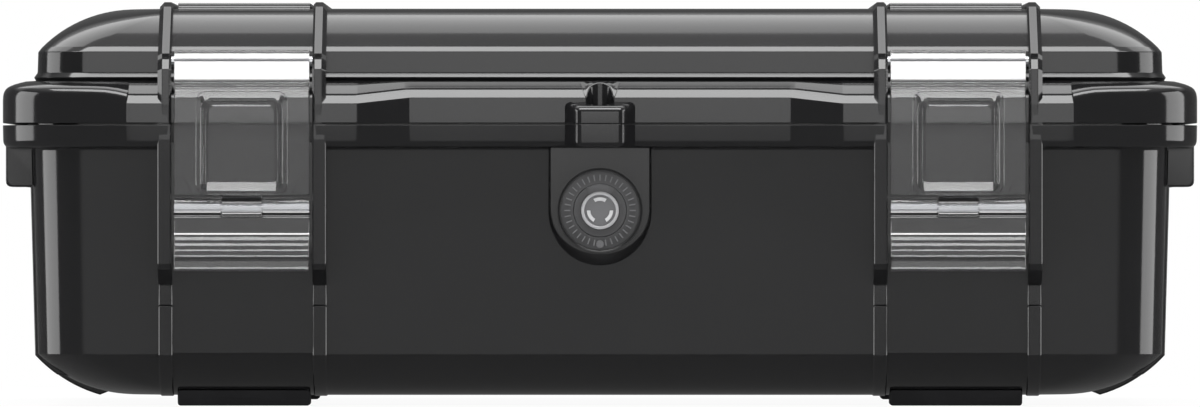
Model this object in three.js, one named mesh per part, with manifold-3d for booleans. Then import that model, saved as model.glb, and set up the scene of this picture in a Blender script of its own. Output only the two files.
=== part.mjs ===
// Waterproof hard case: a base and a hinged lid that close on a seal, held shut by two draw latches,
// with a padlock hasp in the middle, strap bars at the ends and a pressure valve in the front wall.
// Millimetres, +Z up, the front faces -Y, and the origin is on the ground under the middle.

import * as THREE from "three";
import { mergeVertices } from "three/addons/utils/BufferGeometryUtils.js";
import Module from "manifold-3d";

const wasm = await Module();
wasm.setup();

// Overall case
const rimWidth = 362;
const rimDepth = 278;
const undersideHeight = 3.2;
const partingHeight = 85.4;
const lidDepth = 35.2;
const wall = 3.2;
const gap = 0.3;
const overrun = 2;
const rimCorner = 22.5;
const wallCorner = 16;
const cornerGrowthShare = 0.3;

// Lid rim, from the parting line up to the crown
const notchDepth = 4.8;
const notchRise = 0.3;
const lidRimHeight = 8;
const rimBevelRun = 1.7;
const rimBevelRise = 2.3;
const flangeStepRun = 0.4;
const flangeStepRise = 1;
const flangeRun = 5.6;
const flangeRise = 1.6;
const shelfRun = 1.7;
const shelfRise = 0.2;
const skirtRise = 1.1;
const skirtBevelRun = 1;
const skirtBevelRise = 1.3;
const lidWallHeight = 6.3;
const lidWallDraft = 0.2;
const crownBevelRun = 1.3;
const crownBevelRise = 1.7;
const crownRun = 27.4;

// Base rim, wall and bottom curve
const baseRimHeight = 7.2;
const rimEdgeRound = 1.8;
const underRimInset = 8.9;
const baseWallDraft = 1.7;
const baseCurveRun = 29;
const baseCurveRise = 13.3;
const mouthInset = 13.4;

// Seal in the lid and tongue on the base
const sealCentreInset = 8.5;
const sealWidth = 4.4;
const sealHeight = 3.2;
const tongueWidth = 1.6;
const tongueHeight = 1.5;

// Rim pads beside the latches, and the guard ribs that stand in them
const latchInset = 72.9;
const padHalfWidth = 34.8;
const padFlank = 15.7;
const padStand = 6;
const padRimHeight = 6.1;
const padBevelRun = 1.6;
const padBevelRise = 2.1;
const padStepRun = 0.2;
const padStepRise = 1.4;
const bayHalfWidth = 21.25;
const ribWidth = 4.15;
const rearRibStand = 3;
const ribStand = 1.9;
const ribFaceHeight = 16.5;
const ribBevelRun = 2.26;
const ribBevelRise = 3;
const ribNotchRise = 1.1;
const ribSlopeRun = 26.85;
const ribCrownRun = 5.7;
const ribCrownDrop = 1;
const cheekDepth = 43.5;
const cheekSlopeRise = 11.5;
const lowerRibStand = 1.3;
const lowerRibDrop = 0.3;
const outerRibStand = 1.1;
const outerRibRunIn = 5.6;
const innerRibStand = 1.8;
const innerRibRunIn = 17.7;
const sideRibTail = 3.2;

// Stacking panel on the lid, between the ribs
const panelHalfWidth = 20.1;
const panelStepInset = 36;
const panelTopInset = 40;
const panelStep = 0.4;
const panelRise = 1.3;

// Padlock hasp
const haspRootHalfWidth = 11.2;
const haspFaceHalfWidth = 7.25;
const haspStand = 7;
const haspHeight = 6.7;
const haspTopSlope = 1.7;
const haspTopRun = 1.4;
const padlockRadius = 3.95;

// Latch lever
const pivotDepth = 0.2;
const pivotRise = 18.9;
const pinRadius = 1.5;
const pinSeat = 3;
const leverHalfWidth = 20.4;
const leverBarrel = 3.4;
const leverBandFront = 5;
const leverBandTop = 5.7;
const leverBandFoot = 8.9;
const leverFront = 6.4;
const leverPlate = 2.8;
const leverPlateTop = 11.3;
const leverLength = 35.7;
const tongueHalfWidth = 15;
const tongueLength = 40.4;
const fingerPadHalfWidth = 13.7;
const fingerPadRise = 2;
const fingerPadSlope = 3.7;
const fingerPadTop = 8.9;
const lipRise = 1.9;
const lipHeight = 3.7;

// Latch hook
const hookClearance = 0.6;
const hookPivotDepth = 3.2;
const hookBarrel = 3;
const lugHalfWidth = 6;
const hookPlateFront = 2.5;
const hookPlate = 2.7;
const hookBulge = 5.1;
const hookBulgeTop = 8.3;
const hookLength = 19.3;
const toeHeight = 4.5;
const toeReach = 4.5;
const toeRoot = 1;
const ledgeHeight = 5;
const ledgeBite = 3;

// Hinge
const hingeStand = 5.5;
const hingeRise = 4.2;
const hingeEar = 5;
const hingeKnuckle = 4;
const hingePinRadius = 2;
const knuckleHalfWidth = 12;
const earWidth = 8;

// Strap bars, a pair of ears and a bar near each corner
const strapInset = 51.5;
const earSpacing = 35;
const strapEarWidth = 5;
const strapEarHeight = 11.8;
const strapEarInset = 0.6;
const strapEarChamfer = 1;
const strapBarRadius = 2;
const strapBarCover = 1.4;
const strapBarSeat = 4;

// Pressure valve
const valveBelowRim = 6;
const plateMargin = 2.1;
const plateFlat = 0.3;
const plateStand = 3;
const valveFlangeRadius = 12.9;
const valveFlange = 3.2;
const valveRimWidth = 0.6;
const valveRimHeight = 1.6;
const capThickness = 1.7;
const stemRadius = 7;
const stemLength = 13.3;
const ventBore = 1.6;
const seatRadius = 8.5;
const seatDepth = 2;
const membraneThickness = 0.4;
const hubFlange = 1;
const hubRadius = 5.7;
const hubStand = 0.6;
const hubSlotWidth = 1.2;
const hubSlotLength = 3;
const hubSlotDepth = 1.2;
const windowRadius = 8.3;
const windowHalfAngle = THREE.MathUtils.degToRad(32);
const ringRadius = 9.5;
const ringSection = 0.85;
const bossRadius = 13.5;
const bossRise = 1;
const nutRadius = 12.7;
const nutThickness = 5;

// Feet
const footHalfWidth = 20.1;
const footFrontInset = 28;
const footRearInset = 55;
const footToe = 5;
const footToeRun = 4;
const studRadius = 4;
const studHeight = 1.5;
const studInset = 48;
const studOffset = 12;

// Smoothness of the curved forms, in steps
const cornerSteps = 7;
const curveSteps = 7;
const roundSteps = 20;
const valveSteps = 40;

const halfX = rimWidth / 2;
const halfY = rimDepth / 2;
const latchX = halfX - latchInset;
const lidFoot = partingHeight + gap / 2;
const baseTop = partingHeight - gap / 2;
const rimFoot = partingHeight - baseRimHeight;
const lidTopHeight = partingHeight + lidDepth;
const padFace = -halfY - padStand;
const pivotY = -halfY - pivotDepth;
const pivotHeight = partingHeight + pivotRise;
const hookPivotY = pivotY - hookPivotDepth;
const hookDrop = tongueLength + hookClearance + hookBarrel;
const hookPivotZ = pivotHeight - hookDrop;
const hingeY = halfY + hingeStand;
const hingeZ = partingHeight + hingeRise;
const valveHeight = rimFoot - valveBelowRim - valveFlangeRadius;
const plateRadius = valveFlangeRadius + plateMargin;
const plateHalfWidth = plateRadius - plateFlat;

const shellBlack = new THREE.MeshStandardMaterial({ color: 0x0b0b0c, roughness: 0.16, metalness: 0 });
const clearPlastic = new THREE.MeshStandardMaterial({
  color: 0xe9eef1,
  roughness: 0.06,
  metalness: 0,
  transparent: true,
  opacity: 0.35,
});
const steel = new THREE.MeshStandardMaterial({ color: 0xb9bcc0, roughness: 0.25, metalness: 1 });
const rubber = new THREE.MeshStandardMaterial({ color: 0x17171a, roughness: 0.8, metalness: 0 });
const valveBlack = new THREE.MeshStandardMaterial({ color: 0x141416, roughness: 0.28, metalness: 0 });
const hubGrey = new THREE.MeshStandardMaterial({ color: 0xcfd4d8, roughness: 0.2, metalness: 0 });
const membraneWhite = new THREE.MeshStandardMaterial({ color: 0xf2f2ee, roughness: 0.7, metalness: 0 });

// A geometry made one closed body with its faces pointing out, ready to be joined and cut
function toSolid(source) {
  const bare = source.clone();
  bare.deleteAttribute("normal");
  bare.deleteAttribute("uv");
  const merged = mergeVertices(bare);
  const positions = merged.attributes.position.array;
  const corners = Array.from(merged.index.array);
  const a = new THREE.Vector3();
  const b = new THREE.Vector3();
  const c = new THREE.Vector3();
  let volume = 0;
  for (let i = 0; i < corners.length; i += 3) {
    a.fromArray(positions, 3 * corners[i]);
    b.fromArray(positions, 3 * corners[i + 1]);
    c.fromArray(positions, 3 * corners[i + 2]);
    volume += a.dot(b.cross(c));
  }
  const outward = volume > 0 ? corners : corners.reverse();
  return new wasm.Manifold(new wasm.Mesh({
    numProp: 3,
    vertProperties: Float32Array.from(positions),
    triVerts: Uint32Array.from(outward),
  }));
}

function toMesh(name, solid, material) {
  const { vertProperties, triVerts } = solid.getMesh();
  const geometry = new THREE.BufferGeometry();
  geometry.setAttribute("position", new THREE.BufferAttribute(vertProperties, 3));
  geometry.setIndex(new THREE.BufferAttribute(triVerts, 1));
  geometry.computeVertexNormals();
  const mesh = new THREE.Mesh(geometry, material);
  mesh.name = name;
  return mesh;
}

const join = (solids) => solids.reduce((whole, piece) => whole.add(piece));
const cut = (solid, tools) => solid.subtract(join(tools));

// An outline in Y and Z drawn out along X
function prismX(points, lowX, highX) {
  const shape = new THREE.Shape(points.map(([y, z]) => new THREE.Vector2(y, z)));
  const geometry = new THREE.ExtrudeGeometry(shape, { depth: highX - lowX, bevelEnabled: false });
  const turn = new THREE.Matrix4().makeBasis(
    new THREE.Vector3(0, 1, 0),
    new THREE.Vector3(0, 0, 1),
    new THREE.Vector3(1, 0, 0),
  );
  geometry.applyMatrix4(turn);
  geometry.translate(lowX, 0, 0);
  return toSolid(geometry);
}

// An outline in X and Z drawn out along Y
function prismY(shape, lowY, highY) {
  const options = { depth: highY - lowY, bevelEnabled: false, curveSegments: roundSteps };
  const geometry = new THREE.ExtrudeGeometry(shape, options);
  geometry.rotateX(Math.PI / 2);
  geometry.translate(0, highY, 0);
  return toSolid(geometry);
}

// An outline in X and Y drawn up along Z
function prismZ(shape, lowZ, highZ) {
  const options = { depth: highZ - lowZ, bevelEnabled: false, curveSegments: cornerSteps };
  const geometry = new THREE.ExtrudeGeometry(shape, options);
  geometry.translate(0, 0, lowZ);
  return toSolid(geometry);
}

function box(lowX, highX, lowY, highY, lowZ, highZ) {
  const geometry = new THREE.BoxGeometry(highX - lowX, highY - lowY, highZ - lowZ);
  geometry.translate((lowX + highX) / 2, (lowY + highY) / 2, (lowZ + highZ) / 2);
  return toSolid(geometry);
}

function rodX(radius, lowX, highX, y, z) {
  const geometry = new THREE.CylinderGeometry(radius, radius, highX - lowX, roundSteps);
  geometry.rotateZ(Math.PI / 2);
  geometry.translate((lowX + highX) / 2, y, z);
  return toSolid(geometry);
}

function rodY(radius, lowY, highY, x, z, steps = roundSteps) {
  const geometry = new THREE.CylinderGeometry(radius, radius, highY - lowY, steps);
  geometry.translate(x, (lowY + highY) / 2, z);
  return toSolid(geometry);
}

function rodZ(radius, lowZ, highZ, x, y) {
  const geometry = new THREE.CylinderGeometry(radius, radius, highZ - lowZ, roundSteps);
  geometry.rotateX(Math.PI / 2);
  geometry.translate(x, y, (lowZ + highZ) / 2);
  return toSolid(geometry);
}

// A piece turned about the Y axis from a closed outline of radius and Y
function turned(points) {
  const outline = points.map(([radius, y]) => new THREE.Vector2(radius, y));
  outline.push(outline[0].clone());
  return toSolid(new THREE.LatheGeometry(outline, valveSteps));
}

// The corner radius of the case's plan at a distance in from the rim
function cornerAt(inset) {
  const wallInset = underRimInset + baseWallDraft;
  if (inset < wallInset) {
    return THREE.MathUtils.lerp(rimCorner, wallCorner, inset / wallInset);
  }
  return wallCorner + (inset - wallInset) * cornerGrowthShare;
}

const level = (inset, height, corner = cornerAt(inset)) => ({ inset, height, corner });

// The plan of the case at one level, as a ring of points round its four corners
function ringPoints({ inset, height, corner }) {
  const points = [];
  for (let side = 0; side < 4; side += 1) {
    const signX = side === 0 || side === 3 ? 1 : -1;
    const signY = side < 2 ? 1 : -1;
    const centreX = signX * (halfX - inset - corner);
    const centreY = signY * (halfY - inset - corner);
    for (let step = 0; step <= cornerSteps; step += 1) {
      const angle = (side + step / cornerSteps) * Math.PI / 2;
      points.push([centreX + corner * Math.cos(angle), centreY + corner * Math.sin(angle), height]);
    }
  }
  return points;
}

// A closed body skinned over a stack of levels
function skinned(levels) {
  const rings = levels.map(ringPoints);
  const count = rings[0].length;
  const positions = rings.flat(2);
  positions.push(0, 0, levels[0].height, 0, 0, levels[levels.length - 1].height);
  const bottom = rings.length * count;
  const index = [];
  for (let j = 0; j < count; j += 1) {
    const next = (j + 1) % count;
    for (let i = 0; i + 1 < rings.length; i += 1) {
      const low = i * count;
      const high = low + count;
      index.push(low + j, low + next, high + next, low + j, high + next, high + j);
    }
    const top = (rings.length - 1) * count;
    index.push(bottom, next, j, bottom + 1, top + j, top + next);
  }
  const geometry = new THREE.BufferGeometry();
  geometry.setAttribute("position", new THREE.Float32BufferAttribute(positions, 3));
  geometry.setIndex(index);
  return toSolid(geometry);
}

// Levels along a round stretch of wall that ends level, with the inner face a wall in from the outer
function curveLevels({ startInset, run, rise, creaseHeight, upward, thickness }) {
  const radius = (run * run + rise * rise) / (2 * rise);
  const centreInset = startInset + run;
  const centreHeight = creaseHeight + upward * (rise - radius);
  const first = Math.acos((run - thickness) / (radius - thickness));
  const levels = [];
  for (let step = 0; step <= curveSteps; step += 1) {
    const angle = THREE.MathUtils.lerp(first, Math.PI / 2, step / curveSteps);
    const outerInset = centreInset - radius * Math.cos(angle);
    const reach = radius - thickness;
    levels.push(level(
      centreInset - reach * Math.cos(angle),
      centreHeight + upward * reach * Math.sin(angle),
      cornerAt(outerInset) - thickness * Math.cos(angle),
    ));
  }
  return levels;
}

// The heights and insets that the lid's outline passes through
const rimTop = partingHeight + lidRimHeight;
const stepInset = rimBevelRun + flangeStepRun;
const stepHeight = rimTop + rimBevelRise + flangeStepRise;
const flangeInset = stepInset + flangeRun;
const flangeTop = stepHeight + flangeRise;
const shelfInset = flangeInset + shelfRun;
const skirtFoot = flangeTop + shelfRise;
const lidWallFoot = skirtFoot + skirtRise + skirtBevelRise;
const lidWallFootInset = shelfInset + skirtBevelRun;
const lidWallTop = lidWallFoot + lidWallHeight;
const lidWallTopInset = lidWallFootInset + lidWallDraft;
const crownInset = lidWallTopInset + crownBevelRun;
const crownCrease = lidWallTop + crownBevelRise;
const lidCurve = {
  startInset: crownInset,
  run: crownRun,
  rise: lidTopHeight - crownCrease,
  creaseHeight: crownCrease,
  upward: 1,
};
const baseCurveInset = underRimInset + baseWallDraft;
const baseCurve = {
  startInset: baseCurveInset,
  run: baseCurveRun,
  rise: baseCurveRise,
  creaseHeight: undersideHeight + baseCurveRise,
  upward: -1,
};

function lidLevels() {
  return [
    level(notchDepth, lidFoot),
    level(0, lidFoot + notchRise),
    level(0, rimTop),
    level(rimBevelRun, rimTop + rimBevelRise),
    level(stepInset, stepHeight),
    level(flangeInset, flangeTop),
    level(shelfInset, skirtFoot),
    level(shelfInset, skirtFoot + skirtRise),
    level(lidWallFootInset, lidWallFoot),
    level(lidWallTopInset, lidWallTop),
    ...curveLevels({ ...lidCurve, thickness: 0 }),
  ];
}

function lidCavityLevels() {
  const crown = curveLevels({ ...lidCurve, thickness: wall });
  const mouthCorner = cornerAt(mouthInset - wall) - wall;
  return [level(mouthInset, lidFoot - overrun, mouthCorner), ...crown];
}

// The base's outline, grown outwards by an offset where a foot is cut to fit it
function baseLevels(offset = 0) {
  const curve = curveLevels({ ...baseCurve, thickness: -offset }).reverse();
  return [
    ...curve,
    level(underRimInset - offset, rimFoot - offset),
    level(rimEdgeRound - offset, rimFoot - offset),
    level(-offset, rimFoot + rimEdgeRound - offset),
    level(-offset, baseTop - notchRise),
    level(notchDepth, baseTop),
  ];
}

function baseCavityLevels() {
  const curve = curveLevels({ ...baseCurve, thickness: wall }).reverse();
  const mouthCorner = cornerAt(mouthInset - wall) - wall;
  return [...curve, level(mouthInset, baseTop + overrun, mouthCorner)];
}

// A rounded plan outline at a distance in from the rim
function planOutline(inset) {
  const corner = cornerAt(inset);
  const x = halfX - inset - corner;
  const y = halfY - inset - corner;
  const outline = new THREE.Shape();
  outline.absarc(x, y, corner, 0, Math.PI / 2);
  outline.absarc(-x, y, corner, Math.PI / 2, Math.PI);
  outline.absarc(-x, -y, corner, Math.PI, Math.PI * 3 / 2);
  outline.absarc(x, -y, corner, Math.PI * 3 / 2, Math.PI * 2);
  outline.closePath();
  return outline;
}

// A band that runs round the rim, centred on the seal line
function rimBand(width, lowZ, highZ) {
  const outline = planOutline(sealCentreInset - width / 2);
  outline.holes.push(planOutline(sealCentreInset + width / 2));
  return prismZ(outline, lowZ, highZ);
}

// The plan of a raised pad on the front rim. The inner flank is slanted, and the outer one leaves the
// rim's corner where it is tangent to it
function padPlan(x) {
  const side = Math.sign(x);
  const root = -halfY + flangeInset;
  const cornerX = halfX - rimCorner;
  const outerEdge = Math.abs(x) + padHalfWidth;
  const innerEdge = Math.abs(x) - padHalfWidth;
  const across = cornerX - outerEdge;
  const back = rimCorner + padStand;
  const turn = Math.acos(rimCorner / Math.hypot(across, back)) - Math.atan2(across, back);
  const footX = cornerX + rimCorner * Math.sin(turn);
  const footY = -halfY + rimCorner - rimCorner * Math.cos(turn);
  return new THREE.Shape([
    new THREE.Vector2(side * footX, footY),
    new THREE.Vector2(side * outerEdge, padFace),
    new THREE.Vector2(side * innerEdge, padFace),
    new THREE.Vector2(side * (innerEdge - padFlank), -halfY),
    new THREE.Vector2(side * (innerEdge - padFlank), root),
    new THREE.Vector2(side * footX, root),
  ]);
}

// A pad on the front rim, open in the middle where the latch lies
function rimPad(x, profile) {
  const reach = latchInset;
  const body = prismX(profile, x - reach, x + reach);
  const plan = prismZ(padPlan(x), rimFoot - overrun, lidTopHeight);
  const bay = box(
    x - bayHalfWidth, x + bayHalfWidth, padFace - overrun, -halfY,
    rimFoot - overrun, lidTopHeight,
  );
  return body.intersect(plan).subtract(bay);
}

function lidPadProfile() {
  const bevelFoot = partingHeight + padRimHeight;
  const bevelTop = bevelFoot + padBevelRise;
  return [
    [padFace + notchRise, lidFoot],
    [padFace, lidFoot + notchRise],
    [padFace, bevelFoot],
    [padFace + padBevelRun, bevelTop],
    [padFace + padBevelRun + padStepRun, bevelTop + padStepRise],
    [-halfY + flangeInset, flangeTop],
    [-halfY + flangeInset, lidFoot],
  ];
}

function basePadProfile() {
  return [
    [padFace + rimEdgeRound, rimFoot],
    [padFace, rimFoot + rimEdgeRound],
    [padFace, baseTop - notchRise],
    [padFace + notchRise, baseTop],
    [-halfY + flangeInset, baseTop],
    [-halfY + flangeInset, rimFoot],
  ];
}

// One end of a lid rib, from its foot up to the flat top: faceY is its outer face, inward its way in
function lidRibEnd(faceY, inward) {
  const ribTop = lidTopHeight + ribStand;
  const slopeFoot = partingHeight + ribFaceHeight + ribBevelRise;
  const slopeY = faceY + inward * ribBevelRun;
  return [
    [faceY, lidFoot],
    [faceY, partingHeight + ribFaceHeight],
    [slopeY, slopeFoot],
    [slopeY, slopeFoot + ribNotchRise],
    [slopeY + inward * ribSlopeRun, ribTop - ribCrownDrop],
    [slopeY + inward * (ribSlopeRun + ribCrownRun), ribTop],
  ];
}

function lidRibProfile() {
  const front = lidRibEnd(padFace, 1);
  const rear = lidRibEnd(halfY + rearRibStand, -1);
  return [...front, ...rear.reverse()];
}

// The round stretch of a lower rib, proud of the base's bottom curve
function lowerRibCurve(stand) {
  const radius = (baseCurveRun ** 2 + baseCurveRise ** 2) / (2 * baseCurveRise);
  const first = Math.acos(baseCurveRun / radius);
  const points = [];
  for (let step = 0; step <= curveSteps; step += 1) {
    const share = step / curveSteps;
    const angle = THREE.MathUtils.lerp(first, Math.PI / 2, share);
    const reach = radius + THREE.MathUtils.lerp(stand, lowerRibDrop, share);
    const inset = baseCurveInset + baseCurveRun - reach * Math.cos(angle);
    const height = undersideHeight + radius - reach * Math.sin(angle);
    points.push([inset, height]);
  }
  return points;
}

// A base rib as insets and heights: a cheek beside the latch, sloping in to a low rib below it
function baseRibOutline(stand) {
  const cheekFoot = partingHeight - cheekDepth;
  const slopeFoot = cheekFoot - cheekSlopeRise;
  const lowInset = baseCurveInset - lowerRibStand;
  const root = baseCurveInset + wall;
  return [
    [-stand, baseTop],
    [-stand, cheekFoot],
    [lowInset, slopeFoot],
    ...lowerRibCurve(lowerRibStand),
    [baseCurveInset + baseCurveRun, undersideHeight + wall],
    [root, undersideHeight + baseCurveRise],
    [root, baseTop],
  ];
}

// A low rib down the end wall of the base, which runs in under the curve and ends in a wedge
function sideRibOutline(stand, runIn) {
  const root = baseCurveInset + wall;
  const radius = (baseCurveRun ** 2 + baseCurveRise ** 2) / (2 * baseCurveRise);
  const onCurve = (inset, proud) => {
    const across = baseCurveInset + baseCurveRun - inset;
    return [inset, undersideHeight + radius - Math.sqrt((radius + proud) ** 2 - across ** 2)];
  };
  const last = baseCurveInset + runIn;
  const curve = [];
  for (let step = 0; step <= curveSteps; step += 1) {
    const share = step / curveSteps;
    curve.push(onCurve(THREE.MathUtils.lerp(baseCurveInset - stand, last, share), stand));
  }
  return [
    [underRimInset - stand, rimFoot],
    ...curve,
    onCurve(last + sideRibTail, 0),
    onCurve(last + sideRibTail, -wall / 2),
    [root, undersideHeight + baseCurveRise],
    [root, rimFoot],
  ];
}

// The four X positions where a pair of ribs stands beside each latch
const ribPlaces = [-latchX, latchX].flatMap((x) => [
  [x - bayHalfWidth - ribWidth, x - bayHalfWidth],
  [x + bayHalfWidth, x + bayHalfWidth + ribWidth],
]);

function haspPlan() {
  return new THREE.Shape([
    new THREE.Vector2(-haspRootHalfWidth, -halfY),
    new THREE.Vector2(-haspFaceHalfWidth, -halfY - haspStand),
    new THREE.Vector2(haspFaceHalfWidth, -halfY - haspStand),
    new THREE.Vector2(haspRootHalfWidth, -halfY),
    new THREE.Vector2(haspRootHalfWidth, -halfY + notchDepth),
    new THREE.Vector2(-haspRootHalfWidth, -halfY + notchDepth),
  ]);
}

function lidHasp() {
  const face = -halfY - haspStand;
  const top = partingHeight + haspHeight;
  const profile = [
    [face, lidFoot],
    [face, top - haspTopSlope],
    [face + haspTopRun, top],
    [-halfY + notchDepth, top],
    [-halfY + notchDepth, lidFoot],
  ];
  const plan = prismZ(haspPlan(), lidFoot, top + overrun);
  return prismX(profile, -haspRootHalfWidth, haspRootHalfWidth).intersect(plan);
}

// Raised steps on the lid's top between a pair of ribs
function stackingPanel(x) {
  const lower = lidTopHeight + panelStep;
  const stepY = halfY - panelStepInset;
  const topY = halfY - panelTopInset;
  const root = lidTopHeight - wall;
  return join([
    box(x - panelHalfWidth, x + panelHalfWidth, -stepY, stepY, root, lower),
    box(x - panelHalfWidth, x + panelHalfWidth, -topY, topY, root, lidTopHeight + panelRise),
  ]);
}

// The lid's half of a hinge, a knuckle on a web from the rear rim
function hingeKnucklePiece(x) {
  const web = [
    [halfY - notchDepth, lidFoot + notchRise],
    [halfY, lidFoot + notchRise],
    [hingeY, hingeZ - hingeKnuckle],
    [hingeY, hingeZ + hingeKnuckle],
    [halfY - notchDepth, hingeZ + hingeKnuckle],
  ];
  const low = x - knuckleHalfWidth;
  const high = x + knuckleHalfWidth;
  return join([prismX(web, low, high), rodX(hingeKnuckle, low, high, hingeY, hingeZ)]);
}

// The base's half of a hinge, two ears that rise from the rear rim
function hingeEars(x) {
  const earFace = hingeY - hingeEar;
  const web = [
    [halfY - notchDepth, rimFoot + rimEdgeRound],
    [halfY - notchDepth, baseTop],
    [earFace, baseTop],
    [earFace, hingeZ],
    [hingeY + hingeEar, hingeZ],
    [hingeY + hingeEar, baseTop],
    [hingeY, rimFoot + rimEdgeRound],
  ];
  return join([-1, 1].flatMap((side) => {
    const inner = x + side * (knuckleHalfWidth + gap);
    const outer = inner + side * earWidth;
    const low = Math.min(inner, outer);
    const high = Math.max(inner, outer);
    return [prismX(web, low, high), rodX(hingeEar, low, high, hingeY, hingeZ)];
  }));
}

// A bore round a pin, with its clearance
function pinBore(radius, lowX, highX, y, z) {
  return rodX(radius + gap, lowX, highX, y, z);
}

function makeLid() {
  const latchPlaces = [-latchX, latchX];
  const padlockHole = rodZ(padlockRadius, lidFoot - overrun, flangeTop + overrun, 0, -halfY);
  const grooveTop = baseTop + tongueHeight + sealHeight + 2 * gap;
  const hingeSpan = knuckleHalfWidth + overrun;
  const pinReach = bayHalfWidth + pinSeat + gap;
  const body = join([
    skinned(lidLevels()),
    ...latchPlaces.map((x) => rimPad(x, lidPadProfile())),
    ...ribPlaces.map(([low, high]) => prismX(lidRibProfile(), low, high)),
    ...latchPlaces.map(stackingPanel),
    ...latchPlaces.map(hingeKnucklePiece),
    lidHasp(),
  ]);
  return cut(body, [
    skinned(lidCavityLevels()),
    rimBand(sealWidth + 2 * gap, lidFoot - overrun, grooveTop),
    padlockHole,
    ...latchPlaces.map((x) => pinBore(pinRadius, x - pinReach, x + pinReach, pivotY, pivotHeight)),
    ...latchPlaces.map((x) => pinBore(hingePinRadius, x - hingeSpan, x + hingeSpan, hingeY, hingeZ)),
  ]);
}

// The raised plate that the valve sits on, round below and running up to the rim
function valvePlate() {
  const start = -Math.acos(plateHalfWidth / plateRadius);
  const outline = new THREE.Shape();
  outline.moveTo(plateHalfWidth, rimFoot + rimEdgeRound);
  outline.absarc(0, valveHeight, plateRadius, start, -Math.PI - start, true);
  outline.lineTo(-plateHalfWidth, rimFoot + rimEdgeRound);
  outline.closePath();
  return outline;
}

// Where the valve's plate stands: its front face, and the flat face of the boss inside
const wallInsetAtValve = THREE.MathUtils.mapLinear(
  valveHeight,
  undersideHeight + baseCurveRise,
  rimFoot,
  baseCurveInset,
  underRimInset,
);
const plateFront = -halfY + wallInsetAtValve - plateStand;
const bossFace = -halfY + mouthInset + bossRise;

// The ledge that the latch hooks pull against, between a pair of base ribs
const ledgeUnderside = hookPivotZ - hookLength + toeHeight + gap;
const ledgeFace = hookPivotY + toeReach - ledgeBite;

function latchLedge(x) {
  const low = x - bayHalfWidth;
  const high = x + bayHalfWidth;
  const root = -halfY + baseCurveInset + wall / 2;
  return box(low, high, ledgeFace, root, ledgeUnderside, ledgeUnderside + ledgeHeight);
}

// The Y places of the strap bars' middles, and the ears at one end wall with the low ribs under them
const strapPlaces = [-halfY + strapInset, halfY - strapInset];

function strapEars(side) {
  const outer = halfX - strapEarInset;
  const foot = rimFoot - strapEarHeight;
  const root = halfX - baseCurveInset - wall / 2;
  const ear = new THREE.Shape([
    new THREE.Vector2(side * root, foot),
    new THREE.Vector2(side * (outer - strapEarChamfer), foot),
    new THREE.Vector2(side * outer, foot + strapEarChamfer),
    new THREE.Vector2(side * outer, rimFoot + rimEdgeRound / 2),
    new THREE.Vector2(side * root, rimFoot + rimEdgeRound / 2),
  ]);
  const earAndRib = (y, outline) => {
    const rib = new THREE.Shape(outline.map(([inset, z]) => new THREE.Vector2(side * (halfX - inset), z)));
    const low = y - strapEarWidth / 2;
    const high = y + strapEarWidth / 2;
    return [prismY(ear, low, high), prismY(rib, low, high)];
  };
  return join(strapPlaces.flatMap((y) => {
    const apart = Math.sign(y) * earSpacing / 2;
    return [
      ...earAndRib(y + apart, sideRibOutline(outerRibStand, outerRibRunIn)),
      ...earAndRib(y - apart, sideRibOutline(innerRibStand, innerRibRunIn)),
    ];
  }));
}

const strapBarX = halfX - strapEarInset - strapBarCover - strapBarRadius;
const strapBarZ = rimFoot - strapEarHeight / 2;
const strapBarReach = earSpacing / 2 - strapEarWidth / 2 + strapBarSeat;

function footStuds(radius, height, foot) {
  return join([-1, 1].map((side) => rodZ(radius, foot, height, side * studOffset, 0)));
}

// A foot and its sockets are drawn for the front left corner and turned for the others
const footPlaces = [
  { name: "foot_front_left", x: -latchX, turn: 1 },
  { name: "foot_front_right", x: latchX, turn: 1 },
  { name: "foot_rear_left", x: -latchX, turn: -1 },
  { name: "foot_rear_right", x: latchX, turn: -1 },
];
const studY = -halfY + studInset;

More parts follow.
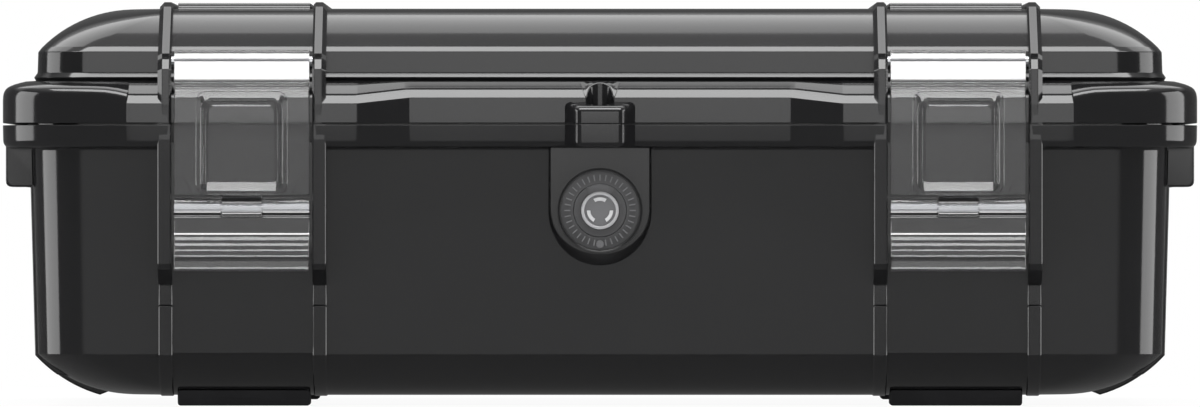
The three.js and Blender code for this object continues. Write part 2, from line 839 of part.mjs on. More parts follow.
function makeBase() {
  const latchPlaces = [-latchX, latchX];
  const toFront = ([inset, z]) => [-halfY + inset, z];
  const toRear = ([inset, z]) => [halfY - inset, z];
  const frontRib = baseRibOutline(padStand).map(toFront);
  const rearRib = baseRibOutline(rearRibStand).map(toRear);
  const plateRoot = -halfY + baseCurveInset + wall / 2;
  const hingeReach = knuckleHalfWidth + gap + earWidth + overrun;
  const cavity = skinned(baseCavityLevels());
  const body = join([
    skinned(baseLevels()),
    ...latchPlaces.map((x) => rimPad(x, basePadProfile())),
    ...ribPlaces.map(([low, high]) => prismX(frontRib, low, high)),
    ...ribPlaces.map(([low, high]) => prismX(rearRib, low, high)),
    ...latchPlaces.map(latchLedge),
    ...latchPlaces.map(hingeEars),
    strapEars(-1),
    strapEars(1),
    prismZ(haspPlan(), rimFoot, baseTop),
    prismY(valvePlate(), plateFront, plateRoot),
  ]);
  const boss = rodY(bossRadius, plateRoot, bossFace, 0, valveHeight, valveSteps);
  const tongue = rimBand(tongueWidth, baseTop - wall, baseTop + tongueHeight);
  const groove = turned([
    [ringRadius - ringSection - gap, plateFront - overrun],
    [ringRadius + ringSection + gap, plateFront - overrun],
    [ringRadius + ringSection + gap, plateFront + 2 * ringSection + gap],
    [ringRadius - ringSection - gap, plateFront + 2 * ringSection + gap],
  ]).translate([0, 0, valveHeight]);
  const sockets = footPlaces.map(({ x, turn }) => footStuds(
    studRadius + gap,
    undersideHeight + studHeight,
    undersideHeight - overrun,
  ).translate([x, turn * studY, 0]));
  return cut(join([body.subtract(cavity), boss, tongue]), [
    rodY(stemRadius + gap, plateFront - overrun, bossFace + overrun, 0, valveHeight, valveSteps),
    groove,
    rodZ(padlockRadius, rimFoot - overrun, partingHeight + overrun, 0, -halfY),
    ...latchPlaces.map((x) => pinBore(hingePinRadius, x - hingeReach, x + hingeReach, hingeY, hingeZ)),
    ...[-1, 1].flatMap((side) => strapPlaces.map((y) => rodY(
      strapBarRadius + gap, y - strapBarReach - gap, y + strapBarReach + gap,
      side * strapBarX, strapBarZ,
    ))),
    ...sockets,
  ]);
}

function makeSeal() {
  const foot = baseTop + tongueHeight + gap;
  return rimBand(sealWidth, foot, foot + sealHeight);
}

// A block that narrows from its root, at rootY, to its face, at faceY; each end is half a width and
// two heights
function taperedBlock(root, rootY, face, faceY) {
  const corners = ([half, low, high], y) => [
    [-half, y, low], [half, y, low], [half, y, high], [-half, y, high],
  ];
  const positions = [...corners(root, rootY), ...corners(face, faceY)].flat();
  const sides = [0, 1, 2, 3].flatMap((i) => {
    const next = (i + 1) % 4;
    return [i, next, next + 4, i, next + 4, i + 4];
  });
  const geometry = new THREE.BufferGeometry();
  geometry.setAttribute("position", new THREE.Float32BufferAttribute(positions, 3));
  geometry.setIndex([0, 2, 1, 0, 3, 2, 4, 5, 6, 4, 6, 7, ...sides]);
  return toSolid(geometry);
}

// The lever, drawn about its pivot: a barrel, a plate down the front, a raised finger pad with a lip,
// and a lug below that holds the hook
function makeLever() {
  const back = leverPlate - leverFront;
  const plate = [
    [-leverBarrel, 0],
    [-leverBandFront, -leverBandTop],
    [-leverBandFront, -leverBandFoot],
    [-leverFront, -leverPlateTop],
    [-leverFront, -leverLength],
    [back, -leverLength],
    [back, -leverPlateTop],
    [back + leverPlate / 2, -leverBandFoot],
    [leverBarrel * Math.SQRT1_2, -leverBarrel * Math.SQRT1_2],
    [0, 0],
  ];
  const centre = [
    [-leverFront, -leverPlateTop],
    [-leverFront, -tongueLength],
    [back, -tongueLength],
    [back, -leverPlateTop],
  ];
  const padFront = -leverFront - fingerPadRise;
  const padFoot = -tongueLength + lipHeight;
  const lip = [
    [-leverFront, padFoot + lipHeight],
    [padFront, padFoot],
    [padFront - lipRise, -tongueLength + lipHeight / 3],
    [padFront - lipRise, -tongueLength + lipHeight / 6],
    [-leverFront, -tongueLength],
  ];
  const lug = [
    [-hookPivotDepth - hookBarrel, -hookDrop],
    [-hookPivotDepth - hookBarrel, -tongueLength + gap],
    [back, -tongueLength + gap],
    [-hookPivotDepth + hookBarrel, -hookDrop],
  ];
  const face = fingerPadHalfWidth - fingerPadSlope;
  const body = join([
    rodX(leverBarrel, -leverHalfWidth, leverHalfWidth, 0, 0),
    prismX(plate, -leverHalfWidth, leverHalfWidth),
    prismX(centre, -tongueHalfWidth, tongueHalfWidth),
    taperedBlock(
      [fingerPadHalfWidth, -tongueLength, -fingerPadTop], -leverFront,
      [face, padFoot, -fingerPadTop - fingerPadSlope], padFront,
    ),
    prismX(lip, -face, face),
    prismX(lug, -lugHalfWidth, lugHalfWidth),
    rodX(hookBarrel, -lugHalfWidth, lugHalfWidth, -hookPivotDepth, -hookDrop),
  ]);
  const reach = leverHalfWidth + overrun;
  return cut(body, [
    pinBore(pinRadius, -reach, reach, 0, 0),
    pinBore(pinRadius, -reach, reach, -hookPivotDepth, -hookDrop),
  ]);
}

// The hook, drawn about its pin: a barrel open in the middle for the lever's lug, a plate, a thick
// roll at the foot and a toe that reaches in under the ledge
function makeHook() {
  const back = hookPlate - hookPlateFront;
  const rollRadius = (hookLength - hookBulgeTop) / 2;
  const rollCentre = -hookLength + rollRadius;
  const roll = [];
  for (let step = 0; step <= curveSteps; step += 1) {
    const angle = THREE.MathUtils.lerp(Math.PI / 2, -Math.PI / 2, step / curveSteps);
    const depth = hookPlateFront + (hookBulge - hookPlateFront) * Math.cos(angle);
    roll.push([-depth, rollCentre + rollRadius * Math.sin(angle)]);
  }
  const outline = [
    [-hookBarrel, 0],
    [-hookPlateFront, -hookBarrel],
    ...roll,
    [toeReach, -hookLength],
    [toeReach, -hookLength + toeHeight],
    [toeRoot, -hookLength + toeHeight],
    [toeRoot, -hookBulgeTop],
    [back, -hookBarrel],
    [back, 0],
  ];
  const lugRoom = hookBarrel + gap;
  const body = join([
    rodX(hookBarrel, -leverHalfWidth, leverHalfWidth, 0, 0),
    prismX(outline, -leverHalfWidth, leverHalfWidth),
  ]);
  const reach = leverHalfWidth + overrun;
  return cut(body, [
    box(-lugHalfWidth - gap, lugHalfWidth + gap, -lugRoom, lugRoom, -lugRoom, lugRoom),
    pinBore(pinRadius, -reach, reach, 0, 0),
  ]);
}

// One latch, built about its lever pivot: the pivot pin, the lever, the hook and the hook's pin
function makeLatch(side, x) {
  const latch = new THREE.Group();
  const pivotReach = bayHalfWidth + pinSeat;
  const pivotPin = rodX(pinRadius, -pivotReach, pivotReach, 0, 0);
  const hookPin = rodX(pinRadius, -leverHalfWidth, leverHalfWidth, 0, 0);
  latch.add(toMesh(`latch_pivot_pin_${side}`, pivotPin, steel));
  latch.add(toMesh(`latch_lever_${side}`, makeLever(), clearPlastic));
  const hook = new THREE.Group();
  hook.add(toMesh(`latch_hook_${side}`, makeHook(), clearPlastic));
  hook.add(toMesh(`latch_hook_pin_${side}`, hookPin, steel));
  hook.position.set(0, -hookPivotDepth, -hookDrop);
  latch.add(hook);
  latch.position.set(x, pivotY, pivotHeight);
  return latch;
}

// A rubber foot for the front, cut to the underside of the case and held by two studs
function makeFoot() {
  const toe = -halfY + footFrontInset;
  const heel = -halfY + footRearInset;
  const profile = [
    [toe, footToe],
    [toe + footToeRun, 0],
    [heel, 0],
    [heel, footToe],
  ];
  const studs = footStuds(studRadius, undersideHeight + studHeight - gap, undersideHeight / 2);
  return prismX(profile, -footHalfWidth, footHalfWidth)
    .subtract(skinned(baseLevels(gap)))
    .add(studs.translate([0, studY, 0]));
}

// The valve, drawn about its axis with the plate's front face at y = 0 and the front towards -Y
function makeValve() {
  const valve = new THREE.Group();
  const flangeBack = -gap;
  const flangeFront = flangeBack - valveFlange;
  const rimFront = flangeFront - valveRimHeight;
  const recess = valveFlangeRadius - valveRimWidth;
  const seatFloor = flangeFront + seatDepth;
  const membraneBack = seatFloor - gap;
  const membraneFront = membraneBack - membraneThickness;
  const hubBack = membraneFront - gap;
  const hubShoulder = hubBack - hubFlange;
  const capBack = Math.min(hubShoulder, flangeFront) - gap;
  const capFront = capBack - capThickness;
  const hubFront = capFront - hubStand;
  const nutBack = bossFace - plateFront + gap;

  const housing = turned([
    [ventBore, stemLength],
    [stemRadius, stemLength],
    [stemRadius, flangeBack],
    [valveFlangeRadius, flangeBack],
    [valveFlangeRadius, rimFront],
    [recess, rimFront],
    [recess, flangeFront],
    [seatRadius, flangeFront],
    [seatRadius, seatFloor],
    [ventBore, seatFloor],
  ]);
  const seatFit = seatRadius - gap;
  const membrane = rodY(seatFit, membraneFront, membraneBack, 0, 0, valveSteps);

  const slotMiddle = hubRadius - hubSlotLength / 2 - hubStand;
  const slots = [0, 1, 2].map((turn) => box(
    -hubSlotWidth / 2, hubSlotWidth / 2,
    hubFront - overrun, hubFront + hubSlotDepth,
    slotMiddle - hubSlotLength / 2, slotMiddle + hubSlotLength / 2,
  ).rotate([0, turn * 360 / 3, 0]));
  const hub = cut(join([
    rodY(seatFit, hubShoulder, hubBack, 0, 0, valveSteps),
    rodY(hubRadius, hubFront, hubBack, 0, 0, valveSteps),
  ]), slots);

  const window = new THREE.Shape();
  const start = Math.PI / 2 - windowHalfAngle;
  const end = Math.PI / 2 + windowHalfAngle;
  window.absarc(0, 0, windowRadius, start, end);
  window.absarc(0, 0, hubRadius - gap, end, start, true);
  window.closePath();
  const cap = cut(rodY(recess - gap, capFront, capBack, 0, 0, valveSteps), [
    rodY(hubRadius + gap, capFront - overrun, capBack + overrun, 0, 0, valveSteps),
    prismY(window, capFront - overrun, capBack + overrun),
  ]);

  const nutFront = nutBack + nutThickness;
  const nut = rodY(nutRadius, nutBack, nutFront, 0, 0, 6).subtract(
    rodY(stemRadius + gap, nutBack - overrun, nutFront + overrun, 0, 0, valveSteps),
  );
  const ring = new THREE.TorusGeometry(ringRadius, ringSection, 8, valveSteps);
  ring.rotateX(Math.PI / 2);
  ring.translate(0, ringSection, 0);

  valve.add(toMesh("valve_housing", housing, valveBlack));
  valve.add(toMesh("valve_membrane", membrane, membraneWhite));
  valve.add(toMesh("valve_hub", hub, hubGrey));
  valve.add(toMesh("valve_cap", cap, valveBlack));
  valve.add(toMesh("valve_nut", nut, valveBlack));
  valve.add(toMesh("valve_o_ring", toSolid(ring), rubber));
  valve.position.set(0, plateFront, valveHeight);
  return valve;
}

const waterproofCase = new THREE.Group();
waterproofCase.name = "waterproof_case";

waterproofCase.add(toMesh("base_shell", makeBase(), shellBlack));
waterproofCase.add(toMesh("lid_shell", makeLid(), shellBlack));
waterproofCase.add(toMesh("lid_seal", makeSeal(), rubber));
waterproofCase.add(makeLatch("left", -latchX));
waterproofCase.add(makeLatch("right", latchX));
waterproofCase.add(makeValve());

for (const [side, sign] of [["left", -1], ["right", 1]]) {
  const hingePinReach = knuckleHalfWidth + gap + earWidth;
  const hingePin = toMesh(
    `hinge_pin_${side}`, rodX(hingePinRadius, -hingePinReach, hingePinReach, 0, 0), steel,
  );
  hingePin.position.set(sign * latchX, hingeY, hingeZ);
  waterproofCase.add(hingePin);

  for (const [index, place] of ["front", "rear"].entries()) {
    const bar = toMesh(
      `strap_bar_${place}_${side}`, rodY(strapBarRadius, -strapBarReach, strapBarReach, 0, 0), steel,
    );
    bar.position.set(sign * strapBarX, strapPlaces[index], strapBarZ);
    waterproofCase.add(bar);
  }
}

for (const { name, x, turn } of footPlaces) {
  const foot = toMesh(name, makeFoot(), rubber);
  foot.position.x = x;
  foot.rotation.z = turn > 0 ? 0 : Math.PI;
  waterproofCase.add(foot);
}

export default waterproofCase;
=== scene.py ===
import math

import bmesh
import bpy
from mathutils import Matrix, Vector


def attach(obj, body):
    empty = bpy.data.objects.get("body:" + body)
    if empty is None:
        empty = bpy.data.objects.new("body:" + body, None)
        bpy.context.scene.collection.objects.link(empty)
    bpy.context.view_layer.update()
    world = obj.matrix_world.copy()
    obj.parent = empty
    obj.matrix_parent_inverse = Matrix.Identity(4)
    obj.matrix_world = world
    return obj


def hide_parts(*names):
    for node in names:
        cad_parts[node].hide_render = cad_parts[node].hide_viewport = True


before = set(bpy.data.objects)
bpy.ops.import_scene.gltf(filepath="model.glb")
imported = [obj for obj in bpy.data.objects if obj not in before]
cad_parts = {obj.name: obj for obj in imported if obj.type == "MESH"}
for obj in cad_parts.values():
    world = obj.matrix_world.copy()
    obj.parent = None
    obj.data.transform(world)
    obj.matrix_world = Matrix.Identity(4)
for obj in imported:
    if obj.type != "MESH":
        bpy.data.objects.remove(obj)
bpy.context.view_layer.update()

# Camera. Square to the front and far away, so that the front is seen as good as flat. The case fills
# the picture from side to side, standing on the picture's lower edge.
PHOTO_WIDTH = 1200
PHOTO_HEIGHT = 407
PIXEL = 0.00030242
LENS = 580
GROUND_ROW = 406.5
FOCUS_PLANE = -0.13
camera_data = bpy.data.cameras.new("camera")
camera_data.lens = LENS
camera_data.clip_end = 40
camera = bpy.data.objects.new("camera", camera_data)
bpy.context.collection.objects.link(camera)
camera_distance = PHOTO_WIDTH * PIXEL * LENS / camera_data.sensor_width
camera_height = (GROUND_ROW - PHOTO_HEIGHT / 2) * PIXEL
camera.location = (0, FOCUS_PLANE - camera_distance, camera_height)
camera.rotation_euler = (math.pi / 2, 0, 0)
bpy.context.scene.camera = camera
bpy.context.scene.view_settings.view_transform = "Standard"


# Studio. A pale floor under a white surround, with large soft lamps above, in front and at both sides,
# whose reflections draw the gloss of the case. For the camera the floor is nearly all its own white, so
# only a faint shadow shows by the case, and none further out.
FLOOR_SIZE = 12
SHADOW_FADE = (0.2, 0.5)
FLOOR_WHITE = (0.95, 1.0)
LAMP_DISTANCE = 4.0


def node_tree(owner):
    owner.use_nodes = True
    owner.node_tree.nodes.clear()
    return owner.node_tree


def add_node(tree, kind, inputs=None, **settings):
    made = tree.nodes.new(kind)
    for name, value in settings.items():
        setattr(made, name, value)
    for name, value in (inputs or {}).items():
        if isinstance(value, bpy.types.NodeSocket):
            tree.links.new(value, made.inputs[name])
        else:
            made.inputs[name].default_value = value
    return made


def ramp(tree, value, start, end, low, high):
    """A smooth change from low to high as a value goes from start to end."""
    made = add_node(tree, "ShaderNodeMapRange", {"Value": value, "From Min": start, "From Max": end,
                                                 "To Min": low, "To Max": high},
                    interpolation_type="SMOOTHSTEP")
    return made.outputs[0]


def combine(tree, operation, first, second):
    return add_node(tree, "ShaderNodeMath", {0: first, 1: second}, operation=operation).outputs[0]


def seen_directly(tree):
    rays = add_node(tree, "ShaderNodeLightPath")
    return combine(tree, "MAXIMUM", rays.outputs["Is Camera Ray"], rays.outputs["Is Transmission Ray"])


def make_floor():
    mesh = bpy.data.meshes.new("floor")
    half = FLOOR_SIZE / 2
    corners = [(-half, -half, 0), (half, -half, 0), (half, half, 0), (-half, half, 0)]
    mesh.from_pydata(corners, [], [(0, 1, 2, 3)])
    floor = bpy.data.objects.new("floor", mesh)
    bpy.context.collection.objects.link(floor)
    pale = bpy.data.materials.new("pale_floor")
    tree = node_tree(pale)
    paint = add_node(tree, "ShaderNodeBsdfDiffuse", {"Color": (0.8, 0.8, 0.8, 1)})
    white = add_node(tree, "ShaderNodeEmission", {"Color": (1, 1, 1, 1), "Strength": 1})
    place = add_node(tree, "ShaderNodeTexCoord")
    away = add_node(tree, "ShaderNodeVectorMath", {0: place.outputs["Object"]}, operation="LENGTH")
    share = ramp(tree, away.outputs["Value"], *SHADOW_FADE, *FLOOR_WHITE)
    mix = add_node(tree, "ShaderNodeMixShader", {
        "Fac": combine(tree, "MULTIPLY", seen_directly(tree), share), 1: paint.outputs[0],
        2: white.outputs[0]})
    add_node(tree, "ShaderNodeOutputMaterial", {"Surface": mix.outputs[0]})
    mesh.materials.append(pale)
    floor.visible_glossy = False


def make_surround():
    world = bpy.data.worlds.new("surround")
    bpy.context.scene.world = world
    tree = node_tree(world)
    place = add_node(tree, "ShaderNodeTexCoord")
    axes = add_node(tree, "ShaderNodeSeparateXYZ", {"Vector": place.outputs["Generated"]})
    forward, upward = axes.outputs["Y"], axes.outputs["Z"]
    rear_glow = combine(tree, "MULTIPLY", ramp(tree, upward, 0.42, 0.64, 0.1, 0.9),
                        ramp(tree, forward, 0.2, 0.5, 0.0, 1.0))
    overhead = combine(tree, "MAXIMUM", ramp(tree, upward, 0.55, 0.95, 0.14, 0.9), rear_glow)
    behind = ramp(tree, forward, 0.2, 1.0, 0.2, 0.13)
    in_front = ramp(tree, forward, -0.99, -0.93, 0.42, 0.0)
    below = combine(tree, "ADD", behind, in_front)
    level = add_node(tree, "ShaderNodeMix", {"Factor": ramp(tree, upward, -0.03, 0.0, 0.0, 1.0),
                                             "A": below, "B": overhead})
    strength = add_node(tree, "ShaderNodeMix", {"Factor": seen_directly(tree), "A": level.outputs[0],
                                                "B": 1.0})
    light = add_node(tree, "ShaderNodeBackground", {"Color": (1, 1, 1, 1),
                                                    "Strength": strength.outputs[0]})
    add_node(tree, "ShaderNodeOutputWorld", {"Surface": light.outputs[0]})


def make_lamp(name, bearing, elevation, width, height, radiance):
    data = bpy.data.lights.new(name, "AREA")
    data.shape = "RECTANGLE"
    data.size = width
    data.size_y = height
    data.energy = radiance * math.pi * width * height
    lamp = bpy.data.objects.new(name, data)
    turn = math.radians(bearing)
    rise = math.radians(elevation)
    out = Vector((math.sin(turn) * math.cos(rise), -math.cos(turn) * math.cos(rise), math.sin(rise)))
    lamp.location = Vector((0, 0, camera_height)) + out * LAMP_DISTANCE
    lamp.rotation_euler = out.to_track_quat("Z", "Y").to_euler()
    lamp.visible_camera = False
    lamp.visible_transmission = False
    bpy.context.collection.objects.link(lamp)


make_floor()
make_surround()
make_lamp("lamp_above_front", 0, 73, 4.2, 1.6, 8.5)
make_lamp("lamp_above_back", 180, 57, 4.6, 2.66, 1.75)
make_lamp("lamp_front", 0, 14, 2.6, 2.0, 1.75)
make_lamp("lamp_left", -88, 12, 2.75, 3.0, 4.0)
make_lamp("lamp_right", 88, 12, 2.75, 3.0, 4.0)


# Base shell. One injection moulding in glossy black plastic: a rounded tub with a rim that carries the
# seal's tongue, pads, guard ribs, hook ledges, hasp, valve seat, hinge ears and strap ears. Sizes are in
# millimetres from here on, and an inset is measured inwards from the rim's outline.
MM = 0.001
RIM_HALF_X = 181
RIM_HALF_Y = 139
RIM_CORNER = 22.5
WALL_CORNER = 16
WALL_INSET = 10.6
CORNER_GROWTH = 0.3
WALL = 3.2
PARTING = 85.4
HALF_GAP = 0.15
LATCH_X = 108.1
PAD_HALF = 34.8
PAD_FLANK = 15.7
PAD_STAND = 6
PAD_EDGE_ROUND = 6.8
PAD_FOOT_ROUND = 4.5
PAD_SWELL = 26
PAD_SWELL_TURN = math.radians(8)
REAR_STAND = 3
BAY_HALF = 21.25
BAY_ROUND = 1.2
FLUSH = 0.05
RIB_WIDTH = 4.15
CHEEK_EDGE = (0.35, 0.35)
STRAIGHT_ROOM = 150
STEP_INSET = 2.7
FLANGE_INSET = 7.78
ROUND_SHARE = 0.45
CORNER_STEPS = 14
FLANK_STEPS = 3
DROP_FROM = math.pi / 3
PADLOCK_RADIUS = 3.95
PADLOCK_EDGE = 0.5
PADLOCK_MARGIN = 1.8
PADLOCK_ARC = (153, 387)
RIM_DRAFT = 0.12
BASE_RIM_FOOT = 78.2
BASE_WALL = [(10.57, 16.3), (8.95, 77.4), (8.7, 78.05), (8.2, BASE_RIM_FOOT)]
NOTCH_DEPTH = 4.8
NOTCH_RISE = 0.18
PARTING_ROUND = 0.15
MOUTH_INSET = 13.4
MOUTH_FOOT = 60
TONGUE_INSETS = (7.7, 9.3)
TONGUE_TOP = 86.75
BASE_CURVE = {"run": 29, "rise": 12.6, "start": 10.6, "crease": 15.8, "upward": -1}
LOW_RIB_FROM = 10.4
LOW_RIB_TO = 39.6
LOW_RIB_STAND = 1.3
WEDGE_LENGTH = 3.2
HASP_ROOT = 10.6
HASP_CORNER = 6.87
HASP_ROUND = 3
HASP_STAND = 7
VALVE_Z = 59.3
PLATE_FRONT = -132.58
# The plate's levels: depth, half its width at the rim, radius at its foot.
PLATE_LEVELS = [(-127, 15.9, 17.4), (-129.3, 15.7, 16.6), (-131.9, 15.2, 14.1), (-132.4, 15.0, 13.65),
                (-132.55, 14.85, 13.45), (PLATE_FRONT, 14.6, 13.2)]
HINGE_EAR_FROM = 12.3
HINGE_EAR_WIDTH = 8
STRAP_Y = 87.5
EAR_SPACING = 35
EAR_WIDTH = 5
# The ribs behind the strap ears: how proud they stand, and how far they run in under the case.
OUTER_STRAP_RIB = (1.1, 5.6)
INNER_STRAP_RIB = (1.8, 17.7)


def fillet(points, steps=4, closed=False):
    """Rounds the corners of an outline of (x, y, radius) and returns plain (x, y) points."""
    count = len(points)
    out = []
    for i, here in enumerate(points):
        radius = here[2] if len(here) > 2 else 0
        at_end = not closed and i in (0, count - 1)
        if radius == 0 or at_end:
            out.append(tuple(here[:2]))
            continue
        corner = Vector(here[:2])
        back = Vector(points[i - 1][:2]) - corner
        ahead = Vector(points[(i + 1) % count][:2]) - corner
        half = back.angle(ahead) / 2
        reach = min(radius / math.tan(half), ROUND_SHARE * back.length, ROUND_SHARE * ahead.length)
        start = corner + back.normalized() * reach
        end = corner + ahead.normalized() * reach
        for step in range(steps + 1):
            t = step / steps
            out.append(tuple(start * (1 - t) ** 2 + corner * (2 * t * (1 - t)) + end * t ** 2))
    return out


def shrink(points, distance, closed=True):
    """An outline, or the outer part of one, moved inwards, with the radii of its corners kept."""
    count = len(points)
    area = sum(points[i - 1][0] * points[i][1] - points[i][0] * points[i - 1][1] for i in range(count))
    inward = 1 if area > 0 else -1
    moved = []
    for i, here in enumerate(points):
        along_in = (Vector(here[:2]) - Vector(points[i - 1][:2])).normalized()
        along_out = (Vector(points[(i + 1) % count][:2]) - Vector(here[:2])).normalized()
        if not closed and i == 0:
            along_in = along_out
        if not closed and i == count - 1:
            along_out = along_in
        first = inward * Vector((-along_in.y, along_in.x))
        second = inward * Vector((-along_out.y, along_out.x))
        shift = (first + second) / max(1 + first.dot(second), 0.35)
        at = Vector(here[:2]) + shift * distance
        moved.append((at.x, at.y, *here[2:]))
    return moved


def arc_points(centre, radius, first, last, steps):
    """Points on a round stretch between two angles in degrees."""
    points = []
    for step in range(steps + 1):
        angle = math.radians(first + (last - first) * step / steps)
        points.append((centre[0] + radius * math.cos(angle), centre[1] + radius * math.sin(angle)))
    return points


def quarter_turns(steps):
    return [math.pi / 2 * step / steps for step in range(steps + 1)]


def skin_rings(rings, closed=False):
    """A closed body skinned over rings of points, flat at both ends or joined end to end."""
    body = bmesh.new()
    layers = [[body.verts.new(point) for point in ring] for ring in rings]
    count = len(layers[0])
    pairs = list(zip(layers, layers[1:]))
    if closed:
        pairs.append((layers[-1], layers[0]))
    for low, high in pairs:
        for i in range(count):
            j = (i + 1) % count
            body.faces.new((low[i], low[j], high[j], high[i]))
    if not closed:
        body.faces.new(list(reversed(layers[0])))
        body.faces.new(layers[-1])
    bmesh.ops.recalc_face_normals(body, faces=body.faces)
    return body


def prism(outline, low, high, axis="X", edge=0.4, steps=3, corner_steps=4):
    """An outline drawn out along an axis, with its end edges rounded."""
    def place(a, b, c):
        return {"X": (c, a, b), "Y": (a, c, b), "Z": (a, b, c)}[axis]
    levels = [(low, 0.0)]
    if edge > 0:
        levels = [(low + edge * (1 - math.cos(turn)), edge * (1 - math.sin(turn)))
                  for turn in quarter_turns(steps)]
    levels += [(low + high - at, inset) for at, inset in reversed(levels)]
    rings = []
    for at, inset in levels:
        section = fillet(shrink(outline, inset), corner_steps, closed=True)
        rings.append([place(a, b, at) for a, b in section])
    return skin_rings(rings)


def rib_body(outer, inner, low, high, low_edge, high_edge):
    """A rib drawn along X: its outer line draws in towards both sides, and its hidden line stays."""
    levels = fillet([(low, low_edge[1]), (low + low_edge[0], 0, 0.35), (high - high_edge[0], 0, 0.35),
                     (high, high_edge[1])], 4)
    rings = []
    for x, inset in levels:
        section = fillet(shrink(outer, inset, closed=False)) + inner
        rings.append([(x, y, z) for y, z in section])
    return skin_rings(rings)


def make_piece(name, parts, material, rides_on, stands_for, move=(0, 0, 0), smooth_below=35):
    """Gathers closed bodies into one object, in metres, shaded smooth except at its sharp edges."""
    whole = bmesh.new()
    for part in parts:
        mesh = bpy.data.meshes.new("part")
        part.to_mesh(mesh)
        whole.from_mesh(mesh)
        bpy.data.meshes.remove(mesh)
    bmesh.ops.translate(whole, vec=move, verts=whole.verts)
    bmesh.ops.scale(whole, vec=(MM, MM, MM), verts=whole.verts)
    mesh = bpy.data.meshes.new(name)
    whole.to_mesh(mesh)
    whole.free()
    mesh.polygons.foreach_set("use_smooth", [True] * len(mesh.polygons))
    mesh.set_sharp_from_angle(angle=math.radians(smooth_below))
    mesh.materials.append(material)
    piece = bpy.data.objects.new(name, mesh)
    bpy.context.collection.objects.link(piece)
    weight = piece.modifiers.new("flat_faces", "WEIGHTED_NORMAL")
    weight.keep_sharp = True
    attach(piece, rides_on)
    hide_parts(stands_for)


def start_material(name):
    """A material, its node tree, and the place on the piece that its patterns follow."""
    material = bpy.data.materials.new(name)
    tree = node_tree(material)
    return material, tree, add_node(tree, "ShaderNodeTexCoord").outputs["Object"]


def noise(tree, place, scale, detail):
    return add_node(tree, "ShaderNodeTexNoise",
                    {"Vector": place, "Scale": scale, "Detail": detail}).outputs["Fac"]


def bumps(tree, strength, distance, height):
    return add_node(tree, "ShaderNodeBump",
                    {"Strength": strength, "Distance": distance, "Height": height}).outputs[0]


def finish_surface(tree, values):
    shader = add_node(tree, "ShaderNodeBsdfPrincipled", values)
    add_node(tree, "ShaderNodeOutputMaterial", {"Surface": shader.outputs[0]})


def moulded_plastic(name, colour, roughness, grain=0.02, grain_scale=1400):
    """Moulded plastic with a faint grain, and gloss that varies a little from place to place."""
    material, tree, place = start_material(name)
    fine = noise(tree, place, grain_scale, 3.0)
    broad = noise(tree, place, 18.0, 4.0)
    finish_surface(tree, {
        "Base Color": (*colour, 1), "IOR": 1.5, "Normal": bumps(tree, grain, 0.0001, fine),
        "Roughness": ramp(tree, broad, 0.3, 0.7, roughness * 0.85, roughness * 1.2)})
    return material


def corner_at(inset):
    if inset < WALL_INSET:
        return RIM_CORNER + (WALL_CORNER - RIM_CORNER) * inset / WALL_INSET
    return WALL_CORNER + (inset - WALL_INSET) * CORNER_GROWTH


def flank_turn():
    """The angle from the front at which a pad's outer flank leaves the rim's corner."""
    across = RIM_HALF_X - RIM_CORNER - LATCH_X - PAD_HALF
    back = RIM_CORNER + PAD_STAND
    return math.acos(RIM_CORNER / math.hypot(across, back)) - math.atan2(across, back)


def way_out(turn, side_x, side_y):
    return Vector((side_x * math.sin(turn), side_y * math.cos(turn)))


def corner_stations(side_x, side_y):
    """Places round a corner from the end wall to the front or rear, with the flank's first stretch."""
    leave = flank_turn()
    centre = Vector((side_x * (RIM_HALF_X - RIM_CORNER), side_y * (RIM_HALF_Y - RIM_CORNER)))
    start = centre + RIM_CORNER * way_out(leave, side_x, side_y)
    edge = Vector((side_x * (LATCH_X + PAD_HALF), side_y * (RIM_HALF_Y + PAD_STAND)))
    turns = [math.pi / 2 + (leave - math.pi / 2) * i / CORNER_STEPS for i in range(CORNER_STEPS + 1)]
    turns += [leave * (1 - i / FLANK_STEPS) for i in range(1, FLANK_STEPS + 1)]
    stations = []
    for turn in turns:
        out = way_out(turn, side_x, side_y)
        station = {"corner": (side_x, side_y, out), "pad": centre + RIM_CORNER * out, "out": out,
                   "crisp": 0.0, "share": 0.0, "groove": False}
        if side_y < 0 and turn < leave - 0.001:
            along = (1 - turn / leave) / 2
            station.update(pad=start.lerp(edge, along), out=way_out(leave, side_x, side_y))
        if side_y < 0 and turn < DROP_FROM:
            station["share"] = min((DROP_FROM - turn) / DROP_FROM, 1) ** 3 / 8
        stations.append(station)
    return stations


